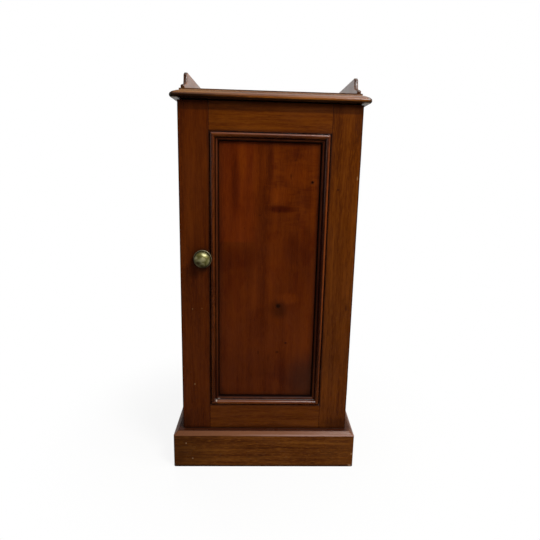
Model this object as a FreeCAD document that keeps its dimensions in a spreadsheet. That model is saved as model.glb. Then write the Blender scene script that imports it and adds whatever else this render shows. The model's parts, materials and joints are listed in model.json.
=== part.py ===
import FreeCAD, Part
import math
import os
import Sketcher

# A mahogany pot cupboard of nightstand size: a carcass on a moulded plinth, a framed door with a
# planted moulding and a brass turn knob, a top with a thumb moulding and a low gallery round it.
# +X is to the right of someone who faces the door, +Y to the back, +Z up. The origin is at floor
# level, halfway from side to side and halfway from the front of the knob to the back.

doc = FreeCAD.newDocument("Nightstand")

# Driving sizes, in mm.
sizes = {
    # Carcass.
    "body_wide": 370,
    "carcass_deep": 340,
    "carcass_tall": 800,
    "side_thick": 18,
    "side_low": 20,
    "base_thick": 18,
    "base_housing": 6,
    "rail_deep": 55,
    "rail_thick": 18,
    "rail_lap": 8,
    "back_thick": 10,
    "back_lap": 8,
    "back_gap": 0.5,
    "shelf_thick": 15,
    "shelf_high": 410,
    "shelf_setback": 22,
    "shelf_play": 0.5,
    "bearer_wide": 18,
    "bearer_tall": 20,
    # Plinth.
    "plinth_tall": 86,
    "plinth_out": 19.4,
    "plinth_ledge": 10,
    "plinth_slope_tall": 8.5,
    "back_rail_thick": 20,
    "block_wide": 30,
    # Top and gallery.
    "top_thick": 20,
    "top_over": 14,
    "thumb_wide": 17,
    "thumb_step": 3.5,
    "gallery_thick": 8,
    "gallery_tall": 37.5,
    "gallery_inset": 5.5,
    "gallery_toe": 10,
    "scroll_long": 46,
    "dowel_radius": 2.5,
    "dowel_long": 22,
    "dowel_play": 0.05,
    # Door.
    "door_thick": 24,
    "door_gap_low": 1,
    "door_gap_top": 2,
    "hinge_gap": 1,
    "stile_wide": 61,
    "top_rail_wide": 56,
    "bottom_rail_wide": 57,
    "panel_recess": 12,
    "panel_thick": 7,
    "panel_play": 0.5,
    "groove_deep": 8,
    "tenon_long": 42,
    "haunch": 12,
    "moulding_wide": 18.6,
    "moulding_proud": 3.8,
    # Hinges.
    "hinge_long": 50,
    "hinge_from_end": 70,
    "leaf_wide": 16,
    "leaf_thick": 1.5,
    "knuckle_radius": 2.3,
    "knuckle_clear": 0.3,
    "knuckle_play": 0.15,
    "pin_radius": 1.1,
    "pin_play": 0.05,
    "pin_cap_radius": 1.9,
    "pin_cap_thick": 0.8,
    # Knob, spindle, tongue and the keeper that the tongue turns behind.
    "knob_inset": 48,
    "knob_rise": 394.5,
    "knob_proud": 27,
    "dome_radius": 16,
    "rim_radius": 19,
    "rim_thick": 2.2,
    "rim_back": 8.6,
    "neck_radius": 7,
    "rose_radius": 10.5,
    "rose_thick": 3,
    "turn_play": 0.3,
    "spindle_radius": 3,
    "spindle_play": 0.06,
    "spindle_into_knob": 17,
    "shoulder_radius": 5,
    "washer_radius": 9,
    "washer_thick": 1.5,
    "tongue_thick": 3,
    "tongue_half": 6,
    "tongue_reach": 26,
    "tongue_lift": 5.5,
    "nut_radius": 5.5,
    "nut_thick": 4,
    "keeper_thick": 1.5,
    "keeper_reach": 11,
    "keeper_lip": 2,
    "keeper_back": 16,
    "keeper_tall": 28,
    "keeper_clear": 0.6,
    # Screws: small ones in the brass, middling ones in the back and bearers, big ones in the top.
    "screw_play": 0.05,
    "hole_end_gap": 0.5,
    # How far a cut runs out past the piece.
    "overrun": 1,
    "small_head_radius": 2.5,
    "small_head_deep": 1.2,
    "small_shank_radius": 1.1,
    "small_long": 11,
    "small_slot": 0.6,
    "middle_head_radius": 3.2,
    "middle_head_deep": 2,
    "middle_shank_radius": 1.6,
    "middle_long": 25,
    "middle_slot": 0.8,
    "big_head_radius": 4,
    "big_head_deep": 2.6,
    "big_shank_radius": 2,
    "big_long": 30,
    "big_slot": 1,
}

# Places that follow from the driving sizes.
places = {
    "half": "Sizes.body_wide / 2",
    "inner": "half - Sizes.side_thick",
    "face": "(Sizes.knob_proud - Sizes.door_thick - Sizes.hinge_gap - Sizes.carcass_deep) / 2",
    "door_back": "face + Sizes.door_thick",
    "front": "door_back + Sizes.hinge_gap",
    "rear": "front + Sizes.carcass_deep",
    "back_front": "rear - Sizes.back_thick",
    "side_tall": "Sizes.carcass_tall - Sizes.side_low",
    "plinth_half": "half + Sizes.plinth_out",
    "plinth_front": "face - Sizes.plinth_out",
    "plinth_run": "rear - plinth_front",
    "base_half": "inner + Sizes.base_housing",
    "rail_half": "inner + Sizes.rail_lap",
    "rail_low": "Sizes.carcass_tall - Sizes.rail_thick",
    "back_half": "inner + Sizes.back_lap",
    "back_board": "(2 * back_half - 2 * Sizes.back_gap) / 3",
    "shelf_front": "front + Sizes.shelf_setback",
    "shelf_run": "back_front - shelf_front",
    "bearer_low": "Sizes.shelf_high - Sizes.bearer_tall",
    "bearer_middle": "Sizes.shelf_high - Sizes.bearer_tall / 2",
    "top_high": "Sizes.carcass_tall + Sizes.top_thick",
    "flat_half": "half + Sizes.top_over - Sizes.thumb_wide",
    "flat_front": "face - Sizes.top_over + Sizes.thumb_wide",
    "gallery_half": "half - Sizes.gallery_inset",
    "gallery_front": "face + Sizes.gallery_toe",
    "gallery_run": "rear - Sizes.gallery_thick - gallery_front",
    "door_low": "Sizes.plinth_tall + Sizes.door_gap_low",
    "door_tall": "Sizes.carcass_tall - Sizes.door_gap_top - door_low",
    "opening_half": "half - Sizes.stile_wide",
    "opening_low": "door_low + Sizes.bottom_rail_wide",
    "opening_high": "door_low + door_tall - Sizes.top_rail_wide",
    "opening_tall": "opening_high - opening_low",
    "tongue_in": "Sizes.groove_deep - Sizes.panel_play",
    "pin_x": "half + Sizes.knuckle_radius + Sizes.knuckle_clear",
    "pin_y": "door_back + Sizes.hinge_gap / 2",
    "leaf_left": "half - Sizes.leaf_wide",
    "lower_hinge": "door_low + Sizes.hinge_from_end",
    "upper_hinge": "door_low + door_tall - Sizes.hinge_from_end - Sizes.hinge_long",
    "knob_x": "Sizes.knob_inset - half",
    "knob_z": "door_low + Sizes.knob_rise",
    "tongue_y": "door_back + Sizes.tongue_lift",
    "keeper_y": "tongue_y - Sizes.keeper_clear - Sizes.keeper_lip",
    "keeper_low": "knob_z - Sizes.keeper_tall / 2",
    "keeper_screw_y": "keeper_y + (Sizes.keeper_lip + Sizes.keeper_back) / 2",
}

# Outlines as shares: (out, up, bulge). A bulge is how far the stretch to the next corner bows to
# the right of its run, as a share of its chord.

# The thumb moulding, in shares of its width and of the top's thickness under the step.
thumb_shares = [
    (0.0, 1.0, -0.05),
    (0.5, 0.84, -0.08),
    (0.9, 0.6, -0.12),
    (1.0, 0.36, -0.14),
    (0.92, 0.12, -0.1),
    (0.72, 0.0, 0.0),
]

# The planted moulding, in shares of its width and of its height over the panel, from the frame
# inwards: a lip, a quirk, the round bead, a hollow and the inner fillet with its slope.
bead_shares = [
    (0.0, 0.76, 0.0),
    (0.05, 0.76, 0.0),
    (0.08, 0.64, 0.12),
    (0.17, 0.66, 0.0),
    (0.18, 0.8, -0.2),
    (0.39, 1.0, -0.2),
    (0.63, 0.74, 0.1),
    (0.76, 0.5, 0.0),
    (0.775, 0.57, 0.0),
    (0.86, 0.56, -0.12),
    (1.0, 0.3, 0.0),
]

# The front scroll of a gallery side, in shares of the scroll's length and of the gallery's height.
scroll_shares = [
    (0.0, 0.0, 0.0),
    (0.0, 0.09, 0.07),
    (0.72, 0.4, 0.1),
    (0.84, 0.85, -0.15),
    (1.15, 1.0, 0.0),
]

# The knob's dome, in shares of its radius and of the knob's height over the door, from the front.
dome_shares = [
    (0.0, 1.0, -0.06),
    (0.56, 0.95, -0.1),
    (0.94, 0.78, -0.1),
    (1.0, 0.64, -0.12),
    (0.86, 0.47, 0.0),
]

hexagon_shares = [(math.cos(math.radians(turn)), math.sin(math.radians(turn))) for turn in range(0, 360, 60)]

# Places of screws and dowels, as shares of the piece that they fasten.
leaf_screw_shares = [(0.5, 0.14), (0.38, 0.5), (0.5, 0.86)]
pair_shares = [0.2, 0.8]
trio_shares = [0.1, 0.5, 0.9]

sheet = doc.addObject("Spreadsheet::Sheet", "Sizes")
for row, (alias, value) in enumerate(sizes.items(), 1):
    sheet.set(f"A{row}", alias)
    sheet.set(f"B{row}", str(value))
    sheet.setAlias(f"B{row}", alias)

worked = doc.addObject("Spreadsheet::Sheet", "Places")
for row, (alias, formula) in enumerate(places.items(), 1):
    worked.set(f"A{row}", alias)
    worked.set(f"B{row}", "=" + formula)
    worked.setAlias(f"B{row}", alias)
doc.recompute()

pieces = []


def number(formula):
    return float(worked.evalExpression(formula))


def put(thing, spot):
    for axis, formula in zip("xyz", spot):
        thing.setExpression("Placement.Base." + axis, formula)


def piece(label, spot, turn=0, axis=FreeCAD.Vector(0, 0, 1)):
    """An empty body with a name of its own, at a spot and turned by degrees about an axis."""
    body = doc.addObject("PartDesign::Body", label)
    body.Label = label
    body.Placement = FreeCAD.Placement(FreeCAD.Vector(), FreeCAD.Rotation(axis, turn))
    put(body, spot)
    pieces.append(body)
    return body


def plane_of(body, role):
    return [part for part in body.Origin.OriginFeatures if part.Role == role][0]


def outline(body, role, corners):
    """A closed sketch on a plane of the body through corners (x, y, bulge), bound to the sizes."""
    sketch = body.newObject("Sketcher::SketchObject", body.Label + "_outline")
    sketch.AttachmentSupport = [(plane_of(body, role), "")]
    sketch.MapMode = "FlatFace"

    def hold(edge, end, spot):
        for kind, formula in zip(("DistanceX", "DistanceY"), spot):
            row = sketch.addConstraint(Sketcher.Constraint(kind, -1, 1, edge, end, number(formula)))
            sketch.setExpression(f"Constraints[{row}]", formula)

    ends = []
    for (x, y, bulge), (next_x, next_y, _) in zip(corners, corners[1:] + corners[:1]):
        start = FreeCAD.Vector(number(x), number(y), 0)
        stop = FreeCAD.Vector(number(next_x), number(next_y), 0)
        if not bulge:
            edge = sketch.addGeometry(Part.LineSegment(start, stop))
            ends.append((edge, 1, 2))
            hold(edge, 1, (x, y))
            continue
        middle = (
            f"(({x}) + ({next_x})) / 2 + {bulge} * (({next_y}) - ({y}))",
            f"(({y}) + ({next_y})) / 2 - {bulge} * (({next_x}) - ({x}))",
        )
        top = FreeCAD.Vector(number(middle[0]), number(middle[1]), 0)
        forwards = bulge > 0
        edge = sketch.addGeometry(Part.Arc(start, top, stop) if forwards else Part.Arc(stop, top, start))
        ends.append((edge, 1, 2) if forwards else (edge, 2, 1))
        hold(edge, ends[-1][1], (x, y))
        mark = sketch.addGeometry(Part.Point(top), True)
        sketch.addConstraint(Sketcher.Constraint("PointOnObject", mark, 1, edge))
        hold(mark, 1, middle)
    for (edge, _, end), (after, begin, _) in zip(ends, ends[1:] + ends[:1]):
        sketch.addConstraint(Sketcher.Constraint("Coincident", edge, end, after, begin))
    return sketch


def pad(body, sketch, length, back=False):
    solid = body.newObject("PartDesign::Pad", body.Label + "_pad")
    solid.Profile = sketch
    solid.Reversed = back
    solid.setExpression("Length", length)
    return solid


def block(body, low, size, cut=False):
    """Adds or cuts a box that has its lowest corner at low."""
    kind = "Subtractive" if cut else "Additive"
    box = body.newObject(f"PartDesign::{kind}Box", f"{body.Label}_{kind}_box")
    for side, formula in zip(("Length", "Width", "Height"), size):
        box.setExpression(side, formula)
    put(box, low)


# Turns that lay a rod's own axis, +Z, along a row axis.
turns = {
    "+X": FreeCAD.Rotation(FreeCAD.Vector(0, 1, 0), 90),
    "-X": FreeCAD.Rotation(FreeCAD.Vector(0, 1, 0), -90),
    "+Y": FreeCAD.Rotation(FreeCAD.Vector(1, 0, 0), -90),
    "-Y": FreeCAD.Rotation(FreeCAD.Vector(1, 0, 0), 90),
    "+Z": FreeCAD.Rotation(),
}


def rod(body, start, way, radius, length, cut=False):
    kind = "Subtractive" if cut else "Additive"
    cylinder = body.newObject(f"PartDesign::{kind}Cylinder", f"{body.Label}_{kind}_rod")
    cylinder.Placement = FreeCAD.Placement(FreeCAD.Vector(), turns[way])
    cylinder.setExpression("Radius", radius)
    cylinder.setExpression("Height", length)
    put(cylinder, start)


def cone(body, start, way, wide, narrow, length, cut=False):
    kind = "Subtractive" if cut else "Additive"
    taper = body.newObject(f"PartDesign::{kind}Cone", f"{body.Label}_{kind}_cone")
    taper.Placement = FreeCAD.Placement(FreeCAD.Vector(), turns[way])
    taper.setExpression("Radius1", wide)
    taper.setExpression("Radius2", narrow)
    taper.setExpression("Height", length)
    put(taper, start)


def rectangle(low, high):
    return [(low[0], low[1], 0), (high[0], low[1], 0), (high[0], high[1], 0), (low[0], high[1], 0)]


def board(label, low, size):
    """A plain board with its lowest corner at low, padded up from its plan."""
    body = piece(label, low)
    pad(body, outline(body, "XY_Plane", rectangle(("0", "0"), size[:2])), size[2])
    return body


def local(body, spot):
    """A spot of the row's frame as seen from the corner that an unturned body is placed by."""
    corner = dict(body.ExpressionEngine)
    corners = [corner.get(f".Placement.Base.{axis}", "0") for axis in "xyz"]
    return [f"({formula}) - ({start})" for formula, start in zip(spot, corners)]


def moved(spot, way, step):
    there = list(spot)
    index = "XYZ".index(way[1])
    there[index] = f"({spot[index]}) {way[0]} ({step})"
    return there


def screw_holes(body, spots, way, kind):
    """Cuts the room that screws of a kind need, with their heads flush at spots of the row's frame."""
    for spot in spots:
        mouth = local(body, spot)
        head = f"Sizes.{kind}_head_radius + Sizes.screw_play"
        shank = f"Sizes.{kind}_shank_radius + Sizes.screw_play"
        cone(body, mouth, way, head, shank, f"Sizes.{kind}_head_deep", True)
        rod(body, mouth, way, shank, f"Sizes.{kind}_long + Sizes.hole_end_gap", True)


def screws(label, spots, way, kind):
    """A group of like countersunk screws that point along way, each with a slot across its head."""
    body = piece(label, ("0", "0", "0"))
    head = f"Sizes.{kind}_head_radius"
    deep = f"Sizes.{kind}_head_deep"
    shank = f"Sizes.{kind}_shank_radius"
    slot = f"Sizes.{kind}_slot"
    for spot in spots:
        cone(body, spot, way, head, shank, deep)
        rod(body, moved(spot, way, deep), way, shank, f"Sizes.{kind}_long - {deep}")
        reach = {axis: slot for axis in "XYZ"}
        low = {axis: f"({formula}) - {slot} / 2" for axis, formula in zip("XYZ", spot)}
        across = "Z" if way[1] != "Z" else "X"
        reach[across] = f"2 * {head}"
        low[across] = f"({spot['XYZ'.index(across)]}) - {head}"
        block(body, [low[axis] for axis in "XYZ"], [reach[axis] for axis in "XYZ"], True)
    return body


def shared(start, run, share):
    return f"({start}) + ({run}) * {share}"


def slice_off(body, role, wide, far=None):
    """Mitres a moulded length at its start, or at its end when the end is given."""
    sign, end = ("+", "0") if far is None else ("-", far)
    outer = "-" if far is None else "+"
    pocket = body.newObject("PartDesign::Pocket", body.Label + "_mitre")
    pocket.Profile = outline(body, role, [
        (f"({end}) {outer} Sizes.overrun", "-Sizes.overrun", 0),
        (f"({end}) {sign} ({wide} + Sizes.overrun)", f"{wide} + Sizes.overrun", 0),
        (f"({end}) {outer} Sizes.overrun", f"{wide} + Sizes.overrun", 0),
    ])
    pocket.SideType = "Symmetric"
    pocket.setExpression("Length", "4 * Sizes.plinth_tall")


# Where the fasteners go, in the row's frame.
hinges = {"lower": "Places.lower_hinge", "upper": "Places.upper_hinge"}
leaf_spots = [
    (shared("Places.leaf_left", "Sizes.leaf_wide", out), shared(low, "Sizes.hinge_long", up))
    for low in hinges.values() for out, up in leaf_screw_shares
]
frame_leaf_spots = [(x, "Places.front", z) for x, z in leaf_spots]
door_leaf_spots = [(x, "Places.door_back", z) for x, z in leaf_spots]
back_lefts = [f"{index} * (Places.back_board + Sizes.back_gap) - Places.back_half" for index in range(3)]
back_rows = {
    "base": "Sizes.plinth_tall + Sizes.base_thick / 2",
    "rail": "Places.rail_low + Sizes.rail_thick / 2",
}
back_spots = {
    (index, row): [(shared(left, "Places.back_board", share), "Places.rear", high) for share in pair_shares]
    for index, left in enumerate(back_lefts) for row, high in back_rows.items()
}
top_spots = {
    row: [
        (shared("-Places.inner", "2 * Places.inner", share), middle, "Places.rail_low")
        for share in pair_shares
    ]
    for row, middle in (
        ("front", "Places.front + Sizes.rail_deep / 2"),
        ("back", "Places.back_front - Sizes.rail_deep / 2"),
    )
}
bearer_spots = {
    side: [
        (f"{sign}(Places.inner - Sizes.bearer_wide)",
         shared("Places.shelf_front", "Places.shelf_run", share), "Places.bearer_middle")
        for share in pair_shares
    ]
    for side, sign in (("left", "-"), ("right", ""))
}
outward = {"left": "-X", "right": "+X"}
keeper_spots = [
    ("Sizes.keeper_thick - Places.inner", "Places.keeper_screw_y",
     shared("Places.keeper_low", "Sizes.keeper_tall", share))
    for share in pair_shares
]
behind_scroll = "Places.gallery_front + Sizes.scroll_long"
dowel_spots = {
    side: [
        (f"{sign}(Places.gallery_half - Sizes.gallery_thick / 2)",
         shared(behind_scroll, "Places.gallery_run - Sizes.scroll_long", share),
         "Places.top_high - Sizes.dowel_long / 2")
        for share in trio_shares
    ]
    for side, sign in (("left", "-"), ("right", ""))
}
dowel_spots["back"] = [
    (shared("-Places.gallery_half", "2 * Places.gallery_half", share),
     "Places.rear - Sizes.gallery_thick / 2", "Places.top_high - Sizes.dowel_long / 2")
    for share in trio_shares
]


def dowel_holes(body, side):
    for spot in dowel_spots[side]:
        start = moved(local(body, spot), "-Z", "Sizes.hole_end_gap")
        rod(body, start, "+Z", "Sizes.dowel_radius + Sizes.dowel_play",
            "Sizes.dowel_long + 2 * Sizes.hole_end_gap", True)


def carcass_side(side, left):
    """A side board with the laps and the housing that hold the base, the top rails and the back."""
    body = board(f"{side}_side", (left, "Places.front", "Sizes.side_low"),
                 ("Sizes.side_thick", "Sizes.carcass_deep", "Places.side_tall"))
    inner_row = {"left": "-Places.inner", "right": "Places.inner"}[side]

    def lap(deep, low_y, low_z, size_y, size_z):
        low_x = f"{inner_row} - {deep}" if side == "left" else f"{inner_row} - Sizes.overrun"
        block(body, local(body, (low_x, low_y, low_z)), (f"{deep} + Sizes.overrun", size_y, size_z), True)

    lap("Sizes.base_housing", "Places.front - Sizes.overrun", "Sizes.plinth_tall",
        "Sizes.carcass_deep - Sizes.back_thick + Sizes.overrun", "Sizes.base_thick")
    lap("Sizes.rail_lap", "Places.front - Sizes.overrun", "Places.rail_low",
        "Sizes.rail_deep + Sizes.overrun", "Sizes.rail_thick + Sizes.overrun")
    lap("Sizes.rail_lap", "Places.back_front - Sizes.rail_deep", "Places.rail_low",
        "Sizes.rail_deep", "Sizes.rail_thick + Sizes.overrun")
    lap("Sizes.back_lap", "Places.back_front", "Sizes.plinth_tall",
        "Sizes.back_thick + Sizes.overrun", "Sizes.carcass_tall - Sizes.plinth_tall + Sizes.overrun")
    screw_holes(body, bearer_spots[side], outward[side], "middle")
    return body


left_side = carcass_side("left", "-Places.half")
screw_holes(left_side, keeper_spots, "-X", "small")
right_side = carcass_side("right", "Places.inner")
for low in hinges.values():
    block(right_side, local(right_side, ("Places.leaf_left", "Places.front - Sizes.overrun", low)),
          ("Sizes.leaf_wide + Sizes.overrun", "Sizes.leaf_thick + Sizes.overrun", "Sizes.hinge_long"), True)
screw_holes(right_side, frame_leaf_spots, "+Y", "small")

base_board = board("base_board", ("-Places.base_half", "Places.front", "Sizes.plinth_tall"),
                   ("2 * Places.base_half", "Sizes.carcass_deep - Sizes.back_thick", "Sizes.base_thick"))
top_rails = {}
for row, near in (("front", "Places.front"), ("back", "Places.back_front - Sizes.rail_deep")):
    top_rails[row] = board(f"{row}_top_rail", ("-Places.rail_half", near, "Places.rail_low"),
                           ("2 * Places.rail_half", "Sizes.rail_deep", "Sizes.rail_thick"))
    screw_holes(top_rails[row], top_spots[row], "+Z", "big")

for index, left in enumerate(back_lefts):
    back_board = board(f"back_board_{index + 1}", (left, "Places.back_front", "Sizes.plinth_tall"),
                       ("Places.back_board", "Sizes.back_thick", "Sizes.carcass_tall - Sizes.plinth_tall"))
    screw_holes(back_board, back_spots[index, "base"] + back_spots[index, "rail"], "-Y", "middle")
    screw_holes(base_board, back_spots[index, "base"], "-Y", "middle")
    screw_holes(top_rails["back"], back_spots[index, "rail"], "-Y", "middle")

board("shelf", ("Sizes.shelf_play - Places.inner", "Places.shelf_front", "Sizes.shelf_high"),
      ("2 * (Places.inner - Sizes.shelf_play)", "Places.shelf_run - Sizes.shelf_play", "Sizes.shelf_thick"))
for side, left in (("left", "-Places.inner"), ("right", "Places.inner - Sizes.bearer_wide")):
    bearer = board(f"{side}_shelf_bearer", (left, "Places.shelf_front", "Places.bearer_low"),
                   ("Sizes.bearer_wide", "Places.shelf_run", "Sizes.bearer_tall"))
    screw_holes(bearer, bearer_spots[side], outward[side], "middle")

# The plinth stands on the floor. Its outer face is at its own y = 0 and its top slopes in to a ledge.
plinth_corners = [
    ("0", "0", 0),
    ("Sizes.plinth_out", "0", 0),
    ("Sizes.plinth_out", "Sizes.plinth_tall", 0),
    ("Sizes.plinth_out - Sizes.plinth_ledge", "Sizes.plinth_tall", -0.08),
    ("0", "Sizes.plinth_tall - Sizes.plinth_slope_tall", 0),
]


def plinth_run(label, spot, turn, length, near_mitre, far_mitre):
    body = piece(label, spot, turn)
    pad(body, outline(body, "YZ_Plane", plinth_corners), length)
    if near_mitre:
        slice_off(body, "XY_Plane", "Sizes.plinth_out")
    if far_mitre:
        slice_off(body, "XY_Plane", "Sizes.plinth_out", length)
    return body


plinth_run("plinth_front", ("-Places.plinth_half", "Places.plinth_front", "0"), 0,
           "2 * Places.plinth_half", True, True)
plinth_run("plinth_right", ("Places.plinth_half", "Places.plinth_front", "0"), 90,
           "Places.plinth_run", True, False)
plinth_run("plinth_left", ("-Places.plinth_half", "Places.rear", "0"), -90,
           "Places.plinth_run", False, True)
board("plinth_front_rail", ("-Places.half", "Places.face", "Sizes.side_low"),
      ("2 * Places.half", "Places.front - Places.face", "Sizes.plinth_tall - Sizes.side_low"))
board("plinth_back_rail", ("-Places.inner", "Places.rear - Sizes.back_rail_thick", "0"),
      ("2 * Places.inner", "Sizes.back_rail_thick", "Sizes.plinth_tall"))
block_nears = {"front": "Places.front", "back": "Places.rear - Sizes.back_rail_thick - Sizes.block_wide"}
for side, left in (("left", "-Places.inner"), ("right", "Places.inner - Sizes.block_wide")):
    for end, near in block_nears.items():
        board(f"{end}_{side}_glue_block", (left, near, "Sizes.side_low"),
              ("Sizes.block_wide", "Sizes.block_wide", "Sizes.plinth_tall - Sizes.side_low"))

# The top: a flat board whose edge is moulded along both sides and the front. It is placed by the
# middle of its back edge.
top_board = piece("top_board", ("0", "Places.rear", "Sizes.carcass_tall"))
flat_near = "Places.flat_front - Places.rear"
flat = rectangle(("-Places.flat_half", flat_near), ("Places.flat_half", "0"))
pad(top_board, outline(top_board, "XY_Plane", flat), "Sizes.top_thick")
path = top_board.newObject("Sketcher::SketchObject", "top_path")
path.AttachmentSupport = [(plane_of(top_board, "XY_Plane"), "")]
path.MapMode = "FlatFace"
path_corners = [("-Places.flat_half", "0"), ("-Places.flat_half", flat_near),
                ("Places.flat_half", flat_near), ("Places.flat_half", "0")]
for index, (start, stop) in enumerate(zip(path_corners, path_corners[1:])):
    spots = [FreeCAD.Vector(number(x), number(y), 0) for x, y in (start, stop)]
    path.addGeometry(Part.LineSegment(*spots))
    for end, spot in enumerate((start, stop), 1):
        if end == 1 and index:
            path.addConstraint(Sketcher.Constraint("Coincident", index - 1, 2, index, 1))
            continue
        for kind, formula in zip(("DistanceX", "DistanceY"), spot):
            row = path.addConstraint(Sketcher.Constraint(kind, -1, 1, index, end, number(formula)))
            path.setExpression(f"Constraints[{row}]", formula)
thumb_corners = [("-Places.flat_half", "0", 0)] + [
    (f"-Places.flat_half - Sizes.thumb_wide * {out}", f"(Sizes.top_thick - Sizes.thumb_step) * {up}", -bulge)
    for out, up, bulge in thumb_shares
]
edge_pipe = top_board.newObject("PartDesign::AdditivePipe", "top_edge")
edge_pipe.Profile = outline(top_board, "XZ_Plane", thumb_corners)
edge_pipe.Spine = (path, ["Edge1", "Edge2", "Edge3"])
edge_pipe.Transition = "Right corner"
for row in ("front", "back"):
    screw_holes(top_board, top_spots[row], "+Z", "big")
for side in ("left", "right", "back"):
    dowel_holes(top_board, side)

scroll_corners = [
    (f"Sizes.scroll_long * {out}", f"Sizes.gallery_tall * {up}", bulge) for out, up, bulge in scroll_shares
] + [("Places.gallery_run", "Sizes.gallery_tall", 0), ("Places.gallery_run", "0", 0)]
for side, left in (("left", "-Places.gallery_half"), ("right", "Places.gallery_half - Sizes.gallery_thick")):
    gallery = piece(f"gallery_{side}", (left, "Places.gallery_front", "Places.top_high"))
    pad(gallery, outline(gallery, "YZ_Plane", scroll_corners), "Sizes.gallery_thick")
    dowel_holes(gallery, side)
gallery_back = board("gallery_back",
                     ("-Places.gallery_half", "Places.rear - Sizes.gallery_thick", "Places.top_high"),
                     ("2 * Places.gallery_half", "Sizes.gallery_thick", "Sizes.gallery_tall"))
dowel_holes(gallery_back, "back")
dowels = piece("gallery_dowels", ("0", "0", "0"))
for spots in dowel_spots.values():
    for spot in spots:
        rod(dowels, spot, "+Z", "Sizes.dowel_radius", "Sizes.dowel_long")

# The door: two stiles with grooves and mortises, two rails with tenons, and a panel in the grooves.
groove_y = "Places.face + Sizes.panel_recess"


def stile(label, left, inner_way):
    body = board(label, (left, "Places.face", "Places.door_low"),
                 ("Sizes.stile_wide", "Sizes.door_thick", "Places.door_tall"))
    edge = "-Places.opening_half" if inner_way == "+" else "Places.opening_half"

    def slot(deep, low_z, tall):
        low_x = f"{edge} - ({deep})" if inner_way == "+" else f"{edge} - Sizes.overrun"
        size = (f"{deep} + Sizes.overrun", "Sizes.panel_thick", tall)
        block(body, local(body, (low_x, groove_y, low_z)), size, True)

    mortise_long = "Sizes.tenon_long + Sizes.hole_end_gap"
    slot("Sizes.groove_deep", "Places.opening_low - Sizes.groove_deep",
         "Places.opening_tall + 2 * Sizes.groove_deep")
    slot(mortise_long, "Places.door_low + Sizes.haunch",
         "Sizes.bottom_rail_wide - Sizes.haunch - Sizes.groove_deep")
    slot(mortise_long, "Places.opening_high + Sizes.groove_deep",
         "Sizes.top_rail_wide - Sizes.haunch - Sizes.groove_deep")
    return body


left_stile = stile("left_stile", "-Places.half", "+")
knob_axis = ("Places.knob_x", "Places.face", "Places.knob_z")
rod(left_stile, moved(local(left_stile, knob_axis), "-Y", "Sizes.overrun"), "+Y",
    "Sizes.spindle_radius + Sizes.spindle_play", "Sizes.door_thick + 2 * Sizes.overrun", True)
right_stile = stile("right_stile", "Places.opening_half", "-")
for low in hinges.values():
    block(right_stile, local(right_stile, ("Places.leaf_left", "Places.door_back - Sizes.leaf_thick", low)),
          ("Sizes.leaf_wide + Sizes.overrun", "Sizes.leaf_thick + Sizes.overrun", "Sizes.hinge_long"), True)
screw_holes(right_stile, door_leaf_spots, "-Y", "small")


def door_rail(label, low_z, wide, tenon_low, groove_low):
    """A rail between the stiles with a tenon at each end and a groove for the panel."""
    body = board(label, ("-Places.opening_half", "Places.face", low_z),
                 ("2 * Places.opening_half", "Sizes.door_thick", wide))
    tenon = ("Sizes.tenon_long", "Sizes.panel_thick", f"{wide} - Sizes.haunch - Sizes.groove_deep")
    for low_x in ("-Places.opening_half - Sizes.tenon_long", "Places.opening_half"):
        block(body, local(body, (low_x, groove_y, tenon_low)), tenon)
    block(body, local(body, ("-Places.opening_half", groove_y, groove_low)),
          ("2 * Places.opening_half", "Sizes.panel_thick", "Sizes.groove_deep + Sizes.overrun"), True)
    return body


door_rail("top_rail", "Places.opening_high", "Sizes.top_rail_wide",
          "Places.opening_high + Sizes.groove_deep", "Places.opening_high - Sizes.overrun")
door_rail("bottom_rail", "Places.door_low", "Sizes.bottom_rail_wide",
          "Places.door_low + Sizes.haunch", "Places.opening_low - Sizes.groove_deep")
board("door_panel",
      ("-Places.opening_half - Places.tongue_in", groove_y, "Places.opening_low - Places.tongue_in"),
      ("2 * (Places.opening_half + Places.tongue_in)", "Sizes.panel_thick",
       "Places.opening_tall + 2 * Places.tongue_in"))

# The planted moulding runs round the panel in four mitred lengths. Each is made lying along its own
# +X with its outer edge at its own z = 0 and the panel's face at its own y = 0.
bead_corners = [("0", "0", 0)] + [
    (f"-(Sizes.panel_recess + Sizes.moulding_proud) * {up}", f"Sizes.moulding_wide * {out}", bulge)
    for out, up, bulge in bead_shares
] + [("0", "Sizes.moulding_wide", 0)]
moulding_runs = {
    "bottom": (("-Places.opening_half", "Places.opening_low"), 0, "2 * Places.opening_half"),
    "right": (("Places.opening_half", "Places.opening_low"), -90, "Places.opening_tall"),
    "top": (("Places.opening_half", "Places.opening_high"), 180, "2 * Places.opening_half"),
    "left": (("-Places.opening_half", "Places.opening_high"), 90, "Places.opening_tall"),
}
for side, ((x, z), turn, length) in moulding_runs.items():
    moulding = piece(f"{side}_moulding", (x, groove_y, z), turn, FreeCAD.Vector(0, 1, 0))
    pad(moulding, outline(moulding, "YZ_Plane", bead_corners), length)
    slice_off(moulding, "XZ_Plane", "Sizes.moulding_wide")
    slice_off(moulding, "XZ_Plane", "Sizes.moulding_wide", length)


knuckle_count = 5


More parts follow.
